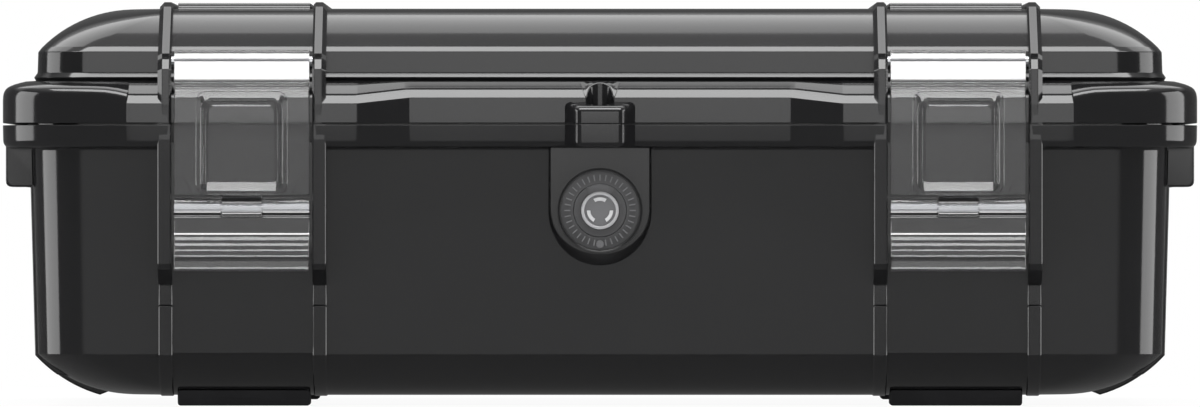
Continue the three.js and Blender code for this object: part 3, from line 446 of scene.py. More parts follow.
def front_stations():
    """Places along the left half of the front: flank, pads, the bay of the latch, and the hasp's hole."""
    leave = flank_turn()
    flank_out = way_out(leave, -1, -1)
    swell_out = way_out(PAD_SWELL_TURN, -1, -1)
    corner = (flank_out + swell_out) / (1 + flank_out.dot(swell_out))
    start = Vector((-(RIM_HALF_X - RIM_CORNER), -(RIM_HALF_Y - RIM_CORNER))) + RIM_CORNER * flank_out
    face = -RIM_HALF_Y - PAD_STAND
    swell = Vector((-LATCH_X - PAD_HALF + PAD_SWELL * math.sin(PAD_SWELL_TURN), face + PAD_SWELL))
    outer = swell + PAD_SWELL * swell_out
    stations = []

    def add(point, out, crisp=1.0, groove=False, collapse=None):
        point = Vector(point)
        share = min(max((-RIM_HALF_Y - point.y) / PAD_STAND, 0), 1)
        stations.append({"x": point.x, "pad": point, "out": Vector(out), "crisp": crisp,
                         "share": share, "groove": groove, "collapse": collapse})

    def add_round(centre, radius, turns, side, **more):
        for turn in turns:
            out = way_out(turn, side, -1)
            add(centre + radius * out, out, **more)

    for along, share in ((0.7, 0.25), (0.85, 0.55)):
        add(start.lerp(outer, along), flank_out, 0.0)
        stations[-1]["share"] = share
    add(outer - Vector((FLUSH, 0)), corner, 0.0)
    add(outer + Vector((FLUSH, 0)), corner)
    add_round(swell, PAD_SWELL, [PAD_SWELL_TURN * (1 - step / 4) for step in range(1, 5)], -1)
    for side in (-1, 1):
        edge = -LATCH_X + side * (BAY_HALF + FLUSH)
        centre = Vector((edge + side * BAY_ROUND, face + BAY_ROUND))
        mitre = Vector((-side, -1))
        if side > 0:
            add((edge, -RIM_HALF_Y), mitre)
        add_round(centre, BAY_ROUND, quarter_turns(4)[::-side], -side, collapse=mitre)
        if side < 0:
            add((edge, -RIM_HALF_Y), mitre)
    slope = math.atan2(PAD_STAND, PAD_FLANK)
    reach = PAD_EDGE_ROUND * math.tan(slope / 2)
    centre = Vector((-LATCH_X + PAD_HALF - reach, -RIM_HALF_Y - PAD_STAND + PAD_EDGE_ROUND))
    add_round(centre, PAD_EDGE_ROUND, [slope * step / 5 for step in range(6)], 1)
    reach = PAD_FOOT_ROUND * math.tan(slope / 2)
    centre = Vector((-LATCH_X + PAD_HALF + PAD_FLANK + reach, -RIM_HALF_Y - PAD_FOOT_ROUND))
    add_round(centre, -PAD_FOOT_ROUND, [slope * (1 - step / 4) for step in range(5)], 1)
    add((-HASP_ROOT - 1, -RIM_HALF_Y), (0, -1))
    centre = Vector((-PADLOCK_RADIUS - PADLOCK_EDGE, -RIM_HALF_Y + PADLOCK_EDGE))
    turns = quarter_turns(3)
    add_round(centre, PADLOCK_EDGE, turns[:2], 1)
    add_round(centre, PADLOCK_EDGE, turns[2:], 1, groove=True)
    for step in range(6):
        turn = math.radians(170 - 80 * step / 6)
        to_point = Vector((math.cos(turn), math.sin(turn)))
        add(Vector((0, -RIM_HALF_Y)) + PADLOCK_RADIUS * to_point, -to_point, groove=True)
    return stations


def mirrored(stations):
    def flip(value):
        return value and Vector((-value.x, value.y))
    flipped = []
    for station in reversed(stations):
        flipped.append({**station, "x": -station["x"], "pad": flip(station["pad"]),
                        "out": flip(station["out"]), "collapse": flip(station["collapse"])})
    return flipped


def all_stations():
    """Every place round the case, with those of the hasp's hole spaced evenly for the plain plan."""
    left = front_stations()
    hole = [station for station in left if station["x"] > -PADLOCK_RADIUS - PADLOCK_EDGE - FLUSH]
    for i, station in enumerate(hole):
        station["x"] = -(PADLOCK_RADIUS + PADLOCK_MARGIN) * (1 - i / len(hole))
    deepest = {"x": 0.0, "pad": Vector((0, -RIM_HALF_Y + PADLOCK_RADIUS)), "out": Vector((0, -1)),
               "crisp": 1.0, "share": 0.0, "groove": True, "collapse": None}
    return (corner_stations(1, 1) + corner_stations(-1, 1)[::-1] + corner_stations(-1, -1)
            + left + [deepest] + mirrored(left) + corner_stations(1, -1)[::-1])


STATIONS = all_stations()


def plain_point(station, inset, corner):
    half_x = RIM_HALF_X - inset
    half_y = RIM_HALF_Y - inset
    if "corner" in station:
        side_x, side_y, out = station["corner"]
        return Vector((side_x * (half_x - corner), side_y * (half_y - corner))) + corner * out
    return Vector((station["x"] * min(1, (half_x - corner) / STRAIGHT_ROOM), -half_y))


def plan_ring(inset, z, corner=None):
    """The case's plain rounded plan at one level."""
    corner = corner_at(inset) if corner is None else corner
    return [(*plain_point(station, inset, corner), z) for station in STATIONS]


def plan_rings(levels):
    return [plan_ring(*level) for level in levels]


def moved_in(station, inset):
    """A place on the pads' outline moved inwards. A small round corner shrinks to a point on its way."""
    if station.get("collapse") is None:
        return station["pad"] - inset * station["out"]
    round_part = min(inset, BAY_ROUND)
    return station["pad"] - round_part * station["out"] - (inset - round_part) * station["collapse"]


def rim_ring(crisp, smooth=None, drop=0.0, notch=False, groove=None):
    """One level of a rim. Its pads stand forward, and its bevel is crisp in front and round elsewhere."""
    smooth = smooth or crisp
    ring = []
    for station in STATIONS:
        inset = smooth[0] + (crisp[0] - smooth[0]) * station["crisp"]
        z = smooth[1] + (crisp[1] - smooth[1]) * station["crisp"]
        if station["groove"] and groove:
            ring.append(groove_point(station, *groove))
            continue
        if notch and station["groove"]:
            inset = NOTCH_RISE
        reach = min(max((FLANGE_INSET - inset) / (FLANGE_INSET - STEP_INSET), 0), 1)
        at = plain_point(station, inset, corner_at(inset)).lerp(moved_in(station, inset), reach)
        ring.append((at.x, at.y, z - drop * station["share"] * reach))
    return ring


def curve_points(run, rise, start, crease, upward, thickness=0.0, steps=16):
    """Levels along a round stretch of wall: inset, height, corner radius."""
    radius = (run * run + rise * rise) / (2 * rise)
    first = math.acos((run - thickness) / (radius - thickness))
    levels = []
    for step in range(steps + 1):
        angle = first + (math.pi / 2 - first) * step / steps
        reach = radius - thickness
        outer = start + run - radius * math.cos(angle)
        levels.append((start + run - reach * math.cos(angle),
                       crease + upward * (rise - radius + reach * math.sin(angle)),
                       corner_at(outer) - thickness * math.cos(angle)))
    return levels


def base_tub():
    """The tub's surface, from the underside round the rim and tongue to the floor inside."""
    top = PARTING - HALF_GAP
    rings = plan_rings(curve_points(**BASE_CURVE)[::-1] + BASE_WALL)
    rim = fillet([BASE_WALL[-1], (RIM_DRAFT, BASE_RIM_FOOT, 2.6), (0, top - NOTCH_RISE, PARTING_ROUND),
                  (NOTCH_DEPTH, top)], 7)
    rings += [rim_ring(at) for at in rim[1:-1]]
    rings.append(rim_ring(rim[-1], notch=True))
    near, far = TONGUE_INSETS
    inner = fillet([(near, top), (near, TONGUE_TOP, 0.4), (far, TONGUE_TOP, 0.4), (far, top),
                    (MOUTH_INSET, top, 0.5), (MOUTH_INSET + 0.05, MOUTH_FOOT)])
    return skin_rings(rings + plan_rings(inner + curve_points(**BASE_CURVE, thickness=WALL)))


def curve_height(inset, proud):
    """The height of the base's bottom curve at an inset, moved out by a distance."""
    run, rise = BASE_CURVE["run"], BASE_CURVE["rise"]
    radius = (run ** 2 + rise ** 2) / (2 * rise)
    across = BASE_CURVE["start"] + run - inset
    return BASE_CURVE["crease"] - rise + radius - math.sqrt((radius + proud) ** 2 - across ** 2)


def run_under(first, last, stand, sink=0.0):
    """A rib's outer line below the curve between two insets, in (inset, height), and how it sinks away."""
    line = []
    for step in range(13):
        share = step / 12
        inset = first - stand + (last - first + stand) * share ** 1.3
        line.append((inset, curve_height(inset, stand - sink * share)))
    return line


def base_rib_outline(stand):
    """A base rib as (inset, height): a cheek beside the latch, a dark pocket and a low rib below it."""
    top = PARTING - HALF_GAP
    curve = run_under(LOW_RIB_FROM, LOW_RIB_TO, LOW_RIB_STAND, 1.0)
    outer = [(-stand + FLUSH, top), (-stand + FLUSH, 80.9), (-stand + 0.02, 80.5), (-stand + 0.8, 43, 0.8),
             (-stand + 2.0, 41.4, 0.5), (7.0, 37.0, 0.4), (9.8, 36.6), (9.8, 30.8), (8.95, 30.4, 0.3)]
    return outer + curve, [(LOW_RIB_TO, 5), (12.6, 18), (12.2, 70), (12.2, 80), (5.5, 81), (5.5, top)]


def side_rib_outline(stand, run_in):
    """A low rib down an end wall, which runs in under the curve and ends in a wedge."""
    last = WALL_INSET + run_in
    tip = last + WEDGE_LENGTH
    return [(8.9 - stand, BASE_RIM_FOOT)] + run_under(WALL_INSET, last, stand) + [
        (tip, curve_height(tip, -0.2)), (tip, curve_height(tip, -WALL / 2)), (12.4, 18),
        (12.4, BASE_RIM_FOOT)]


def hasp_half(low, high, top_round, bottom_round, slope):
    """Half of the padlock's hasp, a rounded column on the rim with the back of the hole cut out."""
    front = -RIM_HALF_Y - HASP_STAND
    side = [(HASP_ROOT + 0.3, -RIM_HALF_Y + 1.8), (HASP_ROOT, -RIM_HALF_Y), (HASP_CORNER, front, HASP_ROUND)]
    outer = fillet(side + [(-x, *rest) for x, *rest in reversed(side)], 10)
    turns = quarter_turns(7)
    levels = [(low + bottom_round * (1 - math.sin(turn)), bottom_round * (1 - math.cos(turn)))
              for turn in turns[::-1]]
    levels += [(high - top_round * (1 - math.sin(turn)), top_round * (1 - math.cos(turn)))
               for turn in turns]
    rings = []
    for z, inset in levels:
        ring = []
        hole = arc_points((0, -RIM_HALF_Y), PADLOCK_RADIUS + min(inset, PADLOCK_EDGE), *PADLOCK_ARC, 20)
        for x, y in shrink(outer, inset, closed=False) + hole:
            fall = slope * max(-RIM_HALF_Y - y, 0) / HASP_STAND if z > (low + high) / 2 else 0
            ring.append((x, y, z - fall))
        rings.append(ring)
    return skin_rings(rings)


def valve_plate():
    """The raised plate that the valve sits on, round below and running up to the rim."""
    rings = []
    for y, at_side, at_foot in PLATE_LEVELS:
        ring = [(at_side, y, BASE_RIM_FOOT + 1)]
        for step in range(41):
            turn = -math.pi * step / 40
            radius = at_side + (at_foot - at_side) * math.sin(turn) ** 2
            ring.append((radius * math.cos(turn), y, VALVE_Z + radius * math.sin(turn)))
        ring.append((-at_side, y, BASE_RIM_FOOT + 1))
        rings.append(ring)
    return skin_rings(rings)


def make_base_parts():
    top = PARTING - HALF_GAP
    parts = [base_tub(), hasp_half(BASE_RIM_FOOT + 0.1, top, PARTING_ROUND, 1.6, 0), valve_plate()]
    for centre in (-LATCH_X, LATCH_X):
        for side in (-1, 1):
            low = centre + side * (BAY_HALF + RIB_WIDTH / 2) - RIB_WIDTH / 2
            for facing, stand in ((-1, PAD_STAND), (1, REAR_STAND)):
                outer, inner = [[(facing * (RIM_HALF_Y - inset), z, *rest) for inset, z, *rest in line]
                                for line in base_rib_outline(stand)]
                parts.append(rib_body(outer, inner, low, low + RIB_WIDTH, CHEEK_EDGE, CHEEK_EDGE))
            ear_low = centre + side * (HINGE_EAR_FROM + HINGE_EAR_WIDTH / 2) - HINGE_EAR_WIDTH / 2
            web = [(134, 80), (134, 85.25), (139.5, 85.25, 0.3), (139.5, 94.6, 5), (149.5, 94.6, 5),
                   (149.5, 86, 2), (143.5, 79.4, 1), (134, 79.4)]
            parts.append(prism(web, ear_low, ear_low + HINGE_EAR_WIDTH, corner_steps=10))
        ledge = [(-140.9, 45.8, 0.4), (-127.5, 45.8), (-127.5, 81.5), (-138.8, 81.5), (-138.85, 50.8, 0.5),
                 (-140.9, 50.8, 0.4)]
        parts.append(prism(ledge, centre - BAY_HALF - 1, centre + BAY_HALF + 1))
    for side in (-1, 1):
        for middle in (-STRAP_Y, STRAP_Y):
            apart = math.copysign(EAR_SPACING / 2, middle)
            for y, sizes in ((middle + apart, OUTER_STRAP_RIB), (middle - apart, INNER_STRAP_RIB)):
                ear = [(168.8, 66.4), (180.4, 66.4, 2.0), (180.4, 79.4, 0.3), (168.8, 79.4)]
                rib = [(RIM_HALF_X - inset, z) for inset, z in side_rib_outline(*sizes)]
                for outline in (ear, rib):
                    flipped = [(side * x, z, *rest) for x, z, *rest in outline]
                    parts.append(prism(flipped, y - EAR_WIDTH / 2, y + EAR_WIDTH / 2, "Y", 0.6))
    return parts


shell_black = moulded_plastic("shell_black", (0.0085, 0.0085, 0.009), 0.11)
make_piece("base_moulding", make_base_parts(), shell_black, "base", "base_shell")


# Lid shell. The other half of the moulding, in the same glossy black: a flanged rim with the seal's
# groove, a bevelled wall, a domed crown and full-length guard ribs on either side of the latches.
LID_CURVE = {"run": 27.4, "rise": 11.7, "start": 11.9, "crease": 108.9, "upward": 1}
PAD_DROP = 1.8
GROOVE_ROUND = 0.8
GROOVE_INSETS = (6.0, 11.0)
GROOVE_TOP = 90.55
OUTER_RIB_EDGE = (1.35, 1.45)
INNER_RIB_EDGE = (0.7, 0.75)
LID_HASP_TOP = 92.15
LID_HASP_SLOPE = 1.7
LID_TOP = 120.6
RIB_TOP = 122.5
PANEL_HALF = 20.1
# The stacking panel's steps: its reach from the lid's middle, its lowest and its highest line.
PANEL_STEPS = [(104.6, 120.35, 120.75), (102.6, 120.95, 121.45), (100.2, 121.85, 122.35)]
KNUCKLE_HALF = 12
LID_WALL = [(11.75, 108.75), (10.75, 107.45), (10.6, 107.15), (10.42, 101.3)]
SKIRT_LEVELS = [(10.3, 100.85), (9.48, 99.72), (9.4, 99.5), (9.9, 98.6)]
CRISP_RIM = [(5.05, 98.28), (4.7, 98.1), (2.45, 96.42), (2.36, 96.3), (2.18, 95.85), (2.12, 95.72),
             (2.0, 95.6), (0.24, 93.45), (RIM_DRAFT, 93.15)]
SMOOTH_RIM = [(7.0, 98.4), (5.5, 98.05), (3.6, 97.5), (2.5, 97.05), (1.6, 96.6), (0.85, 95.95),
              (0.3, 94.95), (0.06, 93.8), (0, 92.6)]
GROOVE_LEVELS = [(0.8, 1), (0.65, 1), (0.35, 1), (0.12, 1), (0, 1), (0, 0.75), (0, 0.5), (0, 0.25), (0, 0)]


def rim_height(inset):
    """The height of the rim's crisp surface at an inset."""
    line = [SKIRT_LEVELS[-1]] + CRISP_RIM
    for (back, high), (near, low) in zip(line, line[1:]):
        if inset >= near:
            return low + (high - low) * min((inset - near) / (back - near), 1)
    return line[-1][1]


def groove_point(station, share_back, turn_share):
    """A place on the padlock's groove: down its rounded edge, or on the rim behind it."""
    lip = station["pad"] - GROOVE_ROUND * station["out"]
    behind = Vector((station["x"], -RIM_HALF_Y + FLANGE_INSET))
    if share_back > 0:
        at = lip.lerp(behind, share_back)
        return (at.x, at.y, rim_height(RIM_HALF_Y + at.y))
    turn = math.pi / 2 * turn_share
    at = station["pad"] - GROOVE_ROUND * (1 - math.cos(turn)) * station["out"]
    return (at.x, at.y, rim_height(RIM_HALF_Y + lip.y) - GROOVE_ROUND * (1 - math.sin(turn)))


def lid_dome():
    """The lid's surface, from the crown down round the rim and the seal's groove to the lining inside."""
    rings = plan_rings(curve_points(**LID_CURVE)[::-1] + LID_WALL + SKIRT_LEVELS)
    rings += [rim_ring(crisp, smooth, PAD_DROP, groove=groove)
              for crisp, smooth, groove in zip(CRISP_RIM, SMOOTH_RIM, GROOVE_LEVELS)]
    foot = PARTING + HALF_GAP
    rim_foot = foot + NOTCH_RISE
    rings += [rim_ring(at) for at in ((0, rim_foot + PARTING_ROUND), (RIM_DRAFT, rim_foot))]
    rings.append(rim_ring((NOTCH_DEPTH, foot), notch=True))
    near, far = GROOVE_INSETS
    under = [(near, foot), (near, GROOVE_TOP), (far, GROOVE_TOP), (far, foot), (MOUTH_INSET, foot),
             (MOUTH_INSET + 0.02, 96)]
    return skin_rings(rings + plan_rings(under + curve_points(**LID_CURVE, thickness=WALL)))


def lid_rib_end(stand):
    """One end of a lid rib as (inset, height), from its foot up to its flat top."""
    foot = PARTING + HALF_GAP
    return [(-stand + FLUSH, foot), (-stand + FLUSH, 91.1), (-stand + 0.02, 91.5), (-stand + 0.2, 101.9, 0.5),
            (-stand + 2.4, 104.9, 0.15), (-stand + 3.0, 105.3, 0.1), (-stand + 2.75, 106.7, 0.1),
            (-stand + 28.4, 121.05, 0.6), (-stand + 35, RIB_TOP, 2.5)]


def lid_rib_lines():
    """A lid rib's outer line from front to rear over the lid, and its hidden line back inside the wall."""
    inner = [(5.5, PARTING + HALF_GAP), (5.5, 96), (12.2, 97), (12.2, 107)]
    inner += [(inset, z) for inset, z, _ in curve_points(**LID_CURVE, thickness=WALL / 2, steps=8)]
    front = [(inset - RIM_HALF_Y, *rest) for inset, *rest in lid_rib_end(PAD_STAND)]
    rear = [(RIM_HALF_Y - inset, *rest) for inset, *rest in lid_rib_end(REAR_STAND)]
    inner_rear = [(RIM_HALF_Y - inset, z) for inset, z in inner]
    inner_front = [(inset - RIM_HALF_Y, z) for inset, z in reversed(inner)]
    return front + rear[::-1], inner_rear + inner_front


def make_lid_parts():
    foot = PARTING + HALF_GAP
    parts = [lid_dome(), hasp_half(foot, LID_HASP_TOP, 1.8, PARTING_ROUND, LID_HASP_SLOPE)]
    outer, inner = lid_rib_lines()
    for centre in (-LATCH_X, LATCH_X):
        for side in (-1, 1):
            low = centre + side * (BAY_HALF + RIB_WIDTH / 2) - RIB_WIDTH / 2
            edges = (OUTER_RIB_EDGE, INNER_RIB_EDGE)
            parts.append(rib_body(outer, inner, low, low + RIB_WIDTH, *edges[::-side]))
        for reach, low, high in PANEL_STEPS:
            front = [(-reach - 0.18, LID_TOP - 3), (-reach - 0.18, low - 0.45), (-reach, low),
                     (-reach + 0.75 * (high - low), high)]
            panel = front + [(-y, z) for y, z in reversed(front)]
            parts.append(prism(panel, centre - PANEL_HALF, centre + PANEL_HALF, edge=0.3, steps=2))
        knuckle = [(134, 86.2), (139.5, 86.2, 1), (142, 85.6, 1.5), (148.5, 85.6, 4), (148.5, 93.6, 4),
                   (134, 93.6)]
        parts.append(prism(knuckle, centre - KNUCKLE_HALF, centre + KNUCKLE_HALF, corner_steps=10))
    return parts


make_piece("lid_moulding", make_lid_parts(), shell_black, "lid", "lid_shell")


# Lid seal. A continuous band of black rubber pressed into the groove of the lid's rim, where the
# tongue of the base bears on it when the latches pull the lid down.
SEAL_INSETS = (6.3, 10.7)
SEAL_HEIGHTS = (87.05, 90.25)
SEAL_ROUND = 0.7
SEAL_EDGE = 0.3


def two_tone(tree, share, first, second):
    return add_node(tree, "ShaderNodeMix", {"Factor": share, "A": (*first, 1), "B": (*second, 1)},
                    data_type="RGBA").outputs[2]


def soft_rubber(name, colour, roughness=0.72):
    """Moulded rubber: matt, with a fine uneven skin and faintly paler patches from handling."""
    material, tree, place = start_material(name)
    fine = noise(tree, place, 2200.0, 4.0)
    handled = ramp(tree, noise(tree, place, 60.0, 5.0), 0.35, 0.75, 0, 1)
    finish_surface(tree, {
        "Base Color": two_tone(tree, handled, colour, [channel * 1.7 for channel in colour]),
        "Normal": bumps(tree, 0.25, 0.00015, fine),
        "Roughness": ramp(tree, fine, 0.2, 0.8, roughness - 0.08, roughness + 0.08)})
    return material


rubber_black = soft_rubber("rubber_black", (0.018, 0.018, 0.02))
seal_section = [(SEAL_INSETS[0], SEAL_HEIGHTS[0], SEAL_ROUND), (SEAL_INSETS[0], SEAL_HEIGHTS[1], SEAL_EDGE),
                (SEAL_INSETS[1], SEAL_HEIGHTS[1], SEAL_EDGE), (SEAL_INSETS[1], SEAL_HEIGHTS[0], SEAL_ROUND)]
seal = skin_rings(plan_rings(fillet(seal_section, 4, closed=True)), closed=True)
make_piece("seal_band", [seal], rubber_black, "lid", "lid_seal")


# Latch levers. Clear polycarbonate draw levers that swing on steel pins between the lid's ribs, each a
# barrel, a plate down the front and a raised finger pad with a lip, and a lug below for the hook.
PIVOT_Y = -139.2
PIVOT_Z = 104.3
LEVER_HALF = 20.4
BARREL = 3.4
LEVER_FRONT = -6.4
LEVER_BACK = -3.6
LEVER_BOW = 0.0009
BOW_TOP = -10.0
BOW_MIDDLE = -15.4
BOW_FOOT = -40
BOW_STEP = 2.5
BAND_FRONT = -4.6
BAND_FOOT = -8.8
BEVEL_FOOT = -11.3
# The finger pad's steps: half its width, top, foot, corner radius, how proud it stands.
PAD_LEVELS = [(13.9, -8.95, -40.3, 3.9, -0.5), (13.9, -8.95, -40.3, 3.9, 0.0),
              (13.65, -9.15, -40.2, 3.8, 0.25), (13.4, -9.45, -40.0, 3.6, 0.3),
              (12.6, -10.9, -39.7, 3.2, 0.34), (12.35, -11.3, -39.5, 3.0, 0.5),
              (12.1, -11.6, -39.3, 2.8, 0.8), (11.75, -12.2, -39.1, 2.6, 0.92),
              (11.6, -12.5, -39.0, 2.5, 1.08), (10.9, -13.05, -38.6, 2.1, 1.38),
              (10.8, -13.2, -38.5, 2.0, 1.48), (9.95, -13.7, -38.0, 1.6, 1.8),
              (9.8, -13.8, -37.9, 1.5, 1.84)]
LIP_HALF = 10.7
# Heights in metres above the floor: the band of painted glare on the barrel, where the clear plastic is made
# a cloudy white, and the clear line along its pin.
GLARE_FROM = 0.0985
GLARE_TO = 0.1059
GLARE_SHARE = 0.82
PIN_LINE = 0.1047
PIN_LINE_HALF = 0.00045
HOOK_DROP = 44
HOOK_DEPTH = 3.2
HOOK_BARREL = 3
LUG_HALF = 6
PIN_BORE = 1.8
SIDES = (("left", -1), ("right", 1))


def rod(radius, low, high, at, axis="X", edge=0.0, steps=32):
    circle = arc_points(at, radius, 0, 360 - 360 / steps, steps - 1)
    return prism(circle, low, high, axis, edge, 2)


def carve(body, tools, operation="DIFFERENCE"):
    """Cuts or joins closed bodies exactly, and returns the result."""
    def as_object(piece):
        mesh = bpy.data.meshes.new("work")
        piece.to_mesh(mesh)
        piece.free()
        made = bpy.data.objects.new("work", mesh)
        bpy.context.collection.objects.link(made)
        return made
    whole = as_object(body)
    cutters = [as_object(tool) for tool in tools]
    for cutter in cutters:
        step = whole.modifiers.new("cut", "BOOLEAN")
        step.operation = operation
        step.solver = "EXACT"
        step.object = cutter
    bpy.context.view_layer.update()
    shape = whole.evaluated_get(bpy.context.evaluated_depsgraph_get())
    result = bmesh.new()
    result.from_mesh(shape.to_mesh())
    shape.to_mesh_clear()
    for used in [whole, *cutters]:
        mesh = used.data
        bpy.data.objects.remove(used)
        bpy.data.meshes.remove(mesh)
    return result


def clear_plastic(name):
    """Clear polished plastic with faint wear, made a cloudy white round the pivot as painted glare, so that
    the lamps light the barrel as a highlight.
    """
    material, tree, place = start_material(name)
    height = add_node(tree, "ShaderNodeSeparateXYZ", {"Vector": place}).outputs["Z"]
    on_line = add_node(tree, "ShaderNodeMath", {0: height, 1: PIN_LINE, 2: PIN_LINE_HALF},
                       operation="COMPARE").outputs[0]
    # Painted glare: between these heights the plastic is made a cloudy white, which the lamps light as a
    # highlight on the barrel.
    painted_glare = combine(tree, "MULTIPLY",
                    ramp(tree, height, GLARE_FROM, GLARE_FROM + 0.0008, 0.0, GLARE_SHARE),
                    ramp(tree, height, GLARE_TO, GLARE_TO + 0.0004, 1.0, 0.0))
    clear = add_node(tree, "ShaderNodeMath", {0: 1.0, 1: combine(tree, "SUBTRACT", painted_glare, on_line)},
                     operation="SUBTRACT", use_clamp=True).outputs[0]
    finish_surface(tree, {
        "Base Color": (0.955, 0.955, 0.96, 1), "IOR": 1.47, "Transmission Weight": clear,
        "Normal": bumps(tree, 0.01, 0.00005, noise(tree, place, 1500.0, 2.0)),
        "Roughness": ramp(tree, noise(tree, place, 45.0, 3.0), 0.3, 0.7, 0.02, 0.05)})
    return material


def lever_head():
    """The barrel, the band with its fine lines and the bevel below it."""
    outline = arc_points((0, 0), BARREL, -45, 170, 22)
    outline += [(-3.15, 0.2), (-3.4, -0.3), (-3.6, -1.6), (-4.0, -3.4), (-4.45, -5.3), (BAND_FRONT, -5.7)]
    for line in range(3):
        z = -6.5 - 0.75 * line
        outline += [(BAND_FRONT, z + 0.15), (BAND_FRONT - 0.12, z), (BAND_FRONT, z - 0.15)]
    outline += [(BAND_FRONT, BAND_FOOT), (LEVER_FRONT, BEVEL_FOOT), (LEVER_FRONT, -14), (LEVER_BACK, -14),
                (LEVER_BACK, BEVEL_FOOT), (-2.2, -8.9)]
    return prism(outline, -LEVER_HALF, LEVER_HALF, edge=0.3, steps=2)


def lever_plate():
    right = [(LEVER_HALF, -10.9), (LEVER_HALF, -35.3, 1.0), (17.3, -35.4, 1.4), (15.0, -40.4, 0.8)]
    outline = right + [(-x, *rest) for x, *rest in reversed(right)]
    return prism(outline, LEVER_FRONT, LEVER_BACK, "Y", 0.3, 2)


def plate_front(z):
    """The depth of the plate's front at a height: the band, the bevel and the flat below it."""
    share = min(max((BAND_FOOT - z) / (BAND_FOOT - BEVEL_FOOT), 0), 1)
    return BAND_FRONT + (LEVER_FRONT - BAND_FRONT) * share


def finger_pad():
    """The raised pad, whose sides fall in soft steps to the plate."""
    rings = []
    for half, high, low, radius, stand in PAD_LEVELS:
        outline = [(half, low, radius), (half, high, radius), (-half, high, radius), (-half, low, radius)]
        rings.append([(x, plate_front(z) - stand, z) for x, z in fillet(outline, 6, closed=True)])
    return skin_rings(rings)


def bow(body):
    """Bows the plate a little forwards between its ends, after adding the cross lines that it bends at."""
    z = BOW_TOP
    while z > BOW_FOOT:
        geometry = body.verts[:] + body.edges[:] + body.faces[:]
        bmesh.ops.bisect_plane(body, geom=geometry, plane_co=(0, 0, z), plane_no=(0, 0, 1))
        z -= BOW_STEP
    top = LEVER_BOW * (BAND_FOOT - BOW_MIDDLE) ** 2
    for vertex in body.verts:
        if vertex.co.z < BAND_FOOT:
            vertex.co.y += LEVER_BOW * (vertex.co.z - BOW_MIDDLE) ** 2 - top
    return body


def pin_bore(at):
    return rod(PIN_BORE, -LEVER_HALF - 1, LEVER_HALF + 1, at)


def make_lever():
    lip = [(-6.0, -33.4), (-8.4, -36.7), (-10.3, -39.1, 0.25), (-10.3, -39.8, 0.25), (-6.0, -40.35)]
    lug = [(-6.2, -39.6)]
    lug += arc_points((-HOOK_DEPTH, -HOOK_DROP), HOOK_BARREL, 180, 360, 16)
    lug += [(LEVER_BACK, -39.6)]
    apron = [(-5.4, -34), (-5.4, -40.3, 0.3), (-3.65, -40.3, 0.3), (-3.65, -34)]
    bodies = [lever_plate(), finger_pad(), prism(lip, -LIP_HALF, LIP_HALF, edge=0.3, steps=2),
              prism(apron, -LEVER_HALF + FLUSH, LEVER_HALF - FLUSH, edge=0.3, steps=2)]
    whole = bow(carve(lever_head(), bodies, "UNION"))
    whole = carve(whole, [prism(lug, -LUG_HALF, LUG_HALF, edge=0.3, steps=2)], "UNION")
    return carve(whole, [pin_bore((0, 0)), pin_bore((-HOOK_DEPTH, -HOOK_DROP))])


clear_polycarbonate = clear_plastic("clear_polycarbonate")
lever = make_lever()
for side, sign in SIDES:
    make_piece(f"lever_{side}", [lever], clear_polycarbonate, f"lever_{side}", f"latch_lever_{side}",
               (sign * LATCH_X, PIVOT_Y, PIVOT_Z), smooth_below=18)


# Latch hooks. The same clear plastic, hung from the levers on steel pins: a barrel open in the middle
# for the lug, a flat plate, and a ribbed roll at the foot whose toe pulls up under the base's ledge.
HOOK_FOOT = -19.3
LUG_GAP = 0.3
TOE_REACH = 4.5


def hook_foot():
    """The plate, the roll with its ridges and the toe, full width."""
    front = [(-2.62, -3.3), (-2.46, -9.0), (-3.15, -9.95), (-3.1, -10.9), (-3.65, -11.65), (-3.62, -12.8),
             (-3.9, -13.2), (-3.88, -14.5), (-4.5, -15.35), (-5.0, -16.6), (-5.05, -18.1), (-5.4, -18.6),
             (-5.3, -18.95), (-4.9, HOOK_FOOT)]
    back = [(TOE_REACH - 0.4, HOOK_FOOT), (TOE_REACH, HOOK_FOOT + 0.4), (TOE_REACH, HOOK_FOOT + 4.5),
            (1.0, HOOK_FOOT + 4.5), (1.0, -8.3), (0.35, -7.8), (0.2, -3.3)]
    return prism(front + back, -LEVER_HALF, LEVER_HALF, edge=0.5, steps=3)


def hook_barrel(low, high):
    outline = arc_points((0, 0), HOOK_BARREL, 0, 180, 24)
    outline += [(-2.95, -0.6), (-2.75, -1.2), (-2.66, -2.2), (-2.64, -2.8), (-2.59, -4.4),
                (0.25, -4.4), (0.2, -3.3), (2.1, -2.1)]
    return prism(outline, low, high, edge=0.3, steps=2)


def make_hook():
    near = LUG_HALF + LUG_GAP
    sides = [hook_barrel(near, LEVER_HALF), hook_barrel(-LEVER_HALF, -near)]
    return carve(carve(hook_foot(), sides, "UNION"), [pin_bore((0, 0))])


hook = make_hook()
for side, sign in SIDES:
    make_piece(f"hook_{side}", [hook], clear_polycarbonate, f"hook_{side}", f"latch_hook_{side}",
               (sign * LATCH_X, PIVOT_Y - HOOK_DEPTH, PIVOT_Z - HOOK_DROP),
               smooth_below=25)


# Pins and strap bars. Bright stainless rod cut to length with chamfered ends: the pivots of the levers
# and hooks, the two hinge pins, and the bars between the strap ears.
PIN_RADIUS = 1.5
BIG_PIN_RADIUS = 2
PIN_EDGE = 0.3
PIN_SEAT = 3
HINGE_PIN_HALF = 20.3
HINGE_Y = 144.5
HINGE_Z = 89.6
STRAP_BAR_X = 177
STRAP_BAR_Z = 72.3
STRAP_BAR_HALF = 19


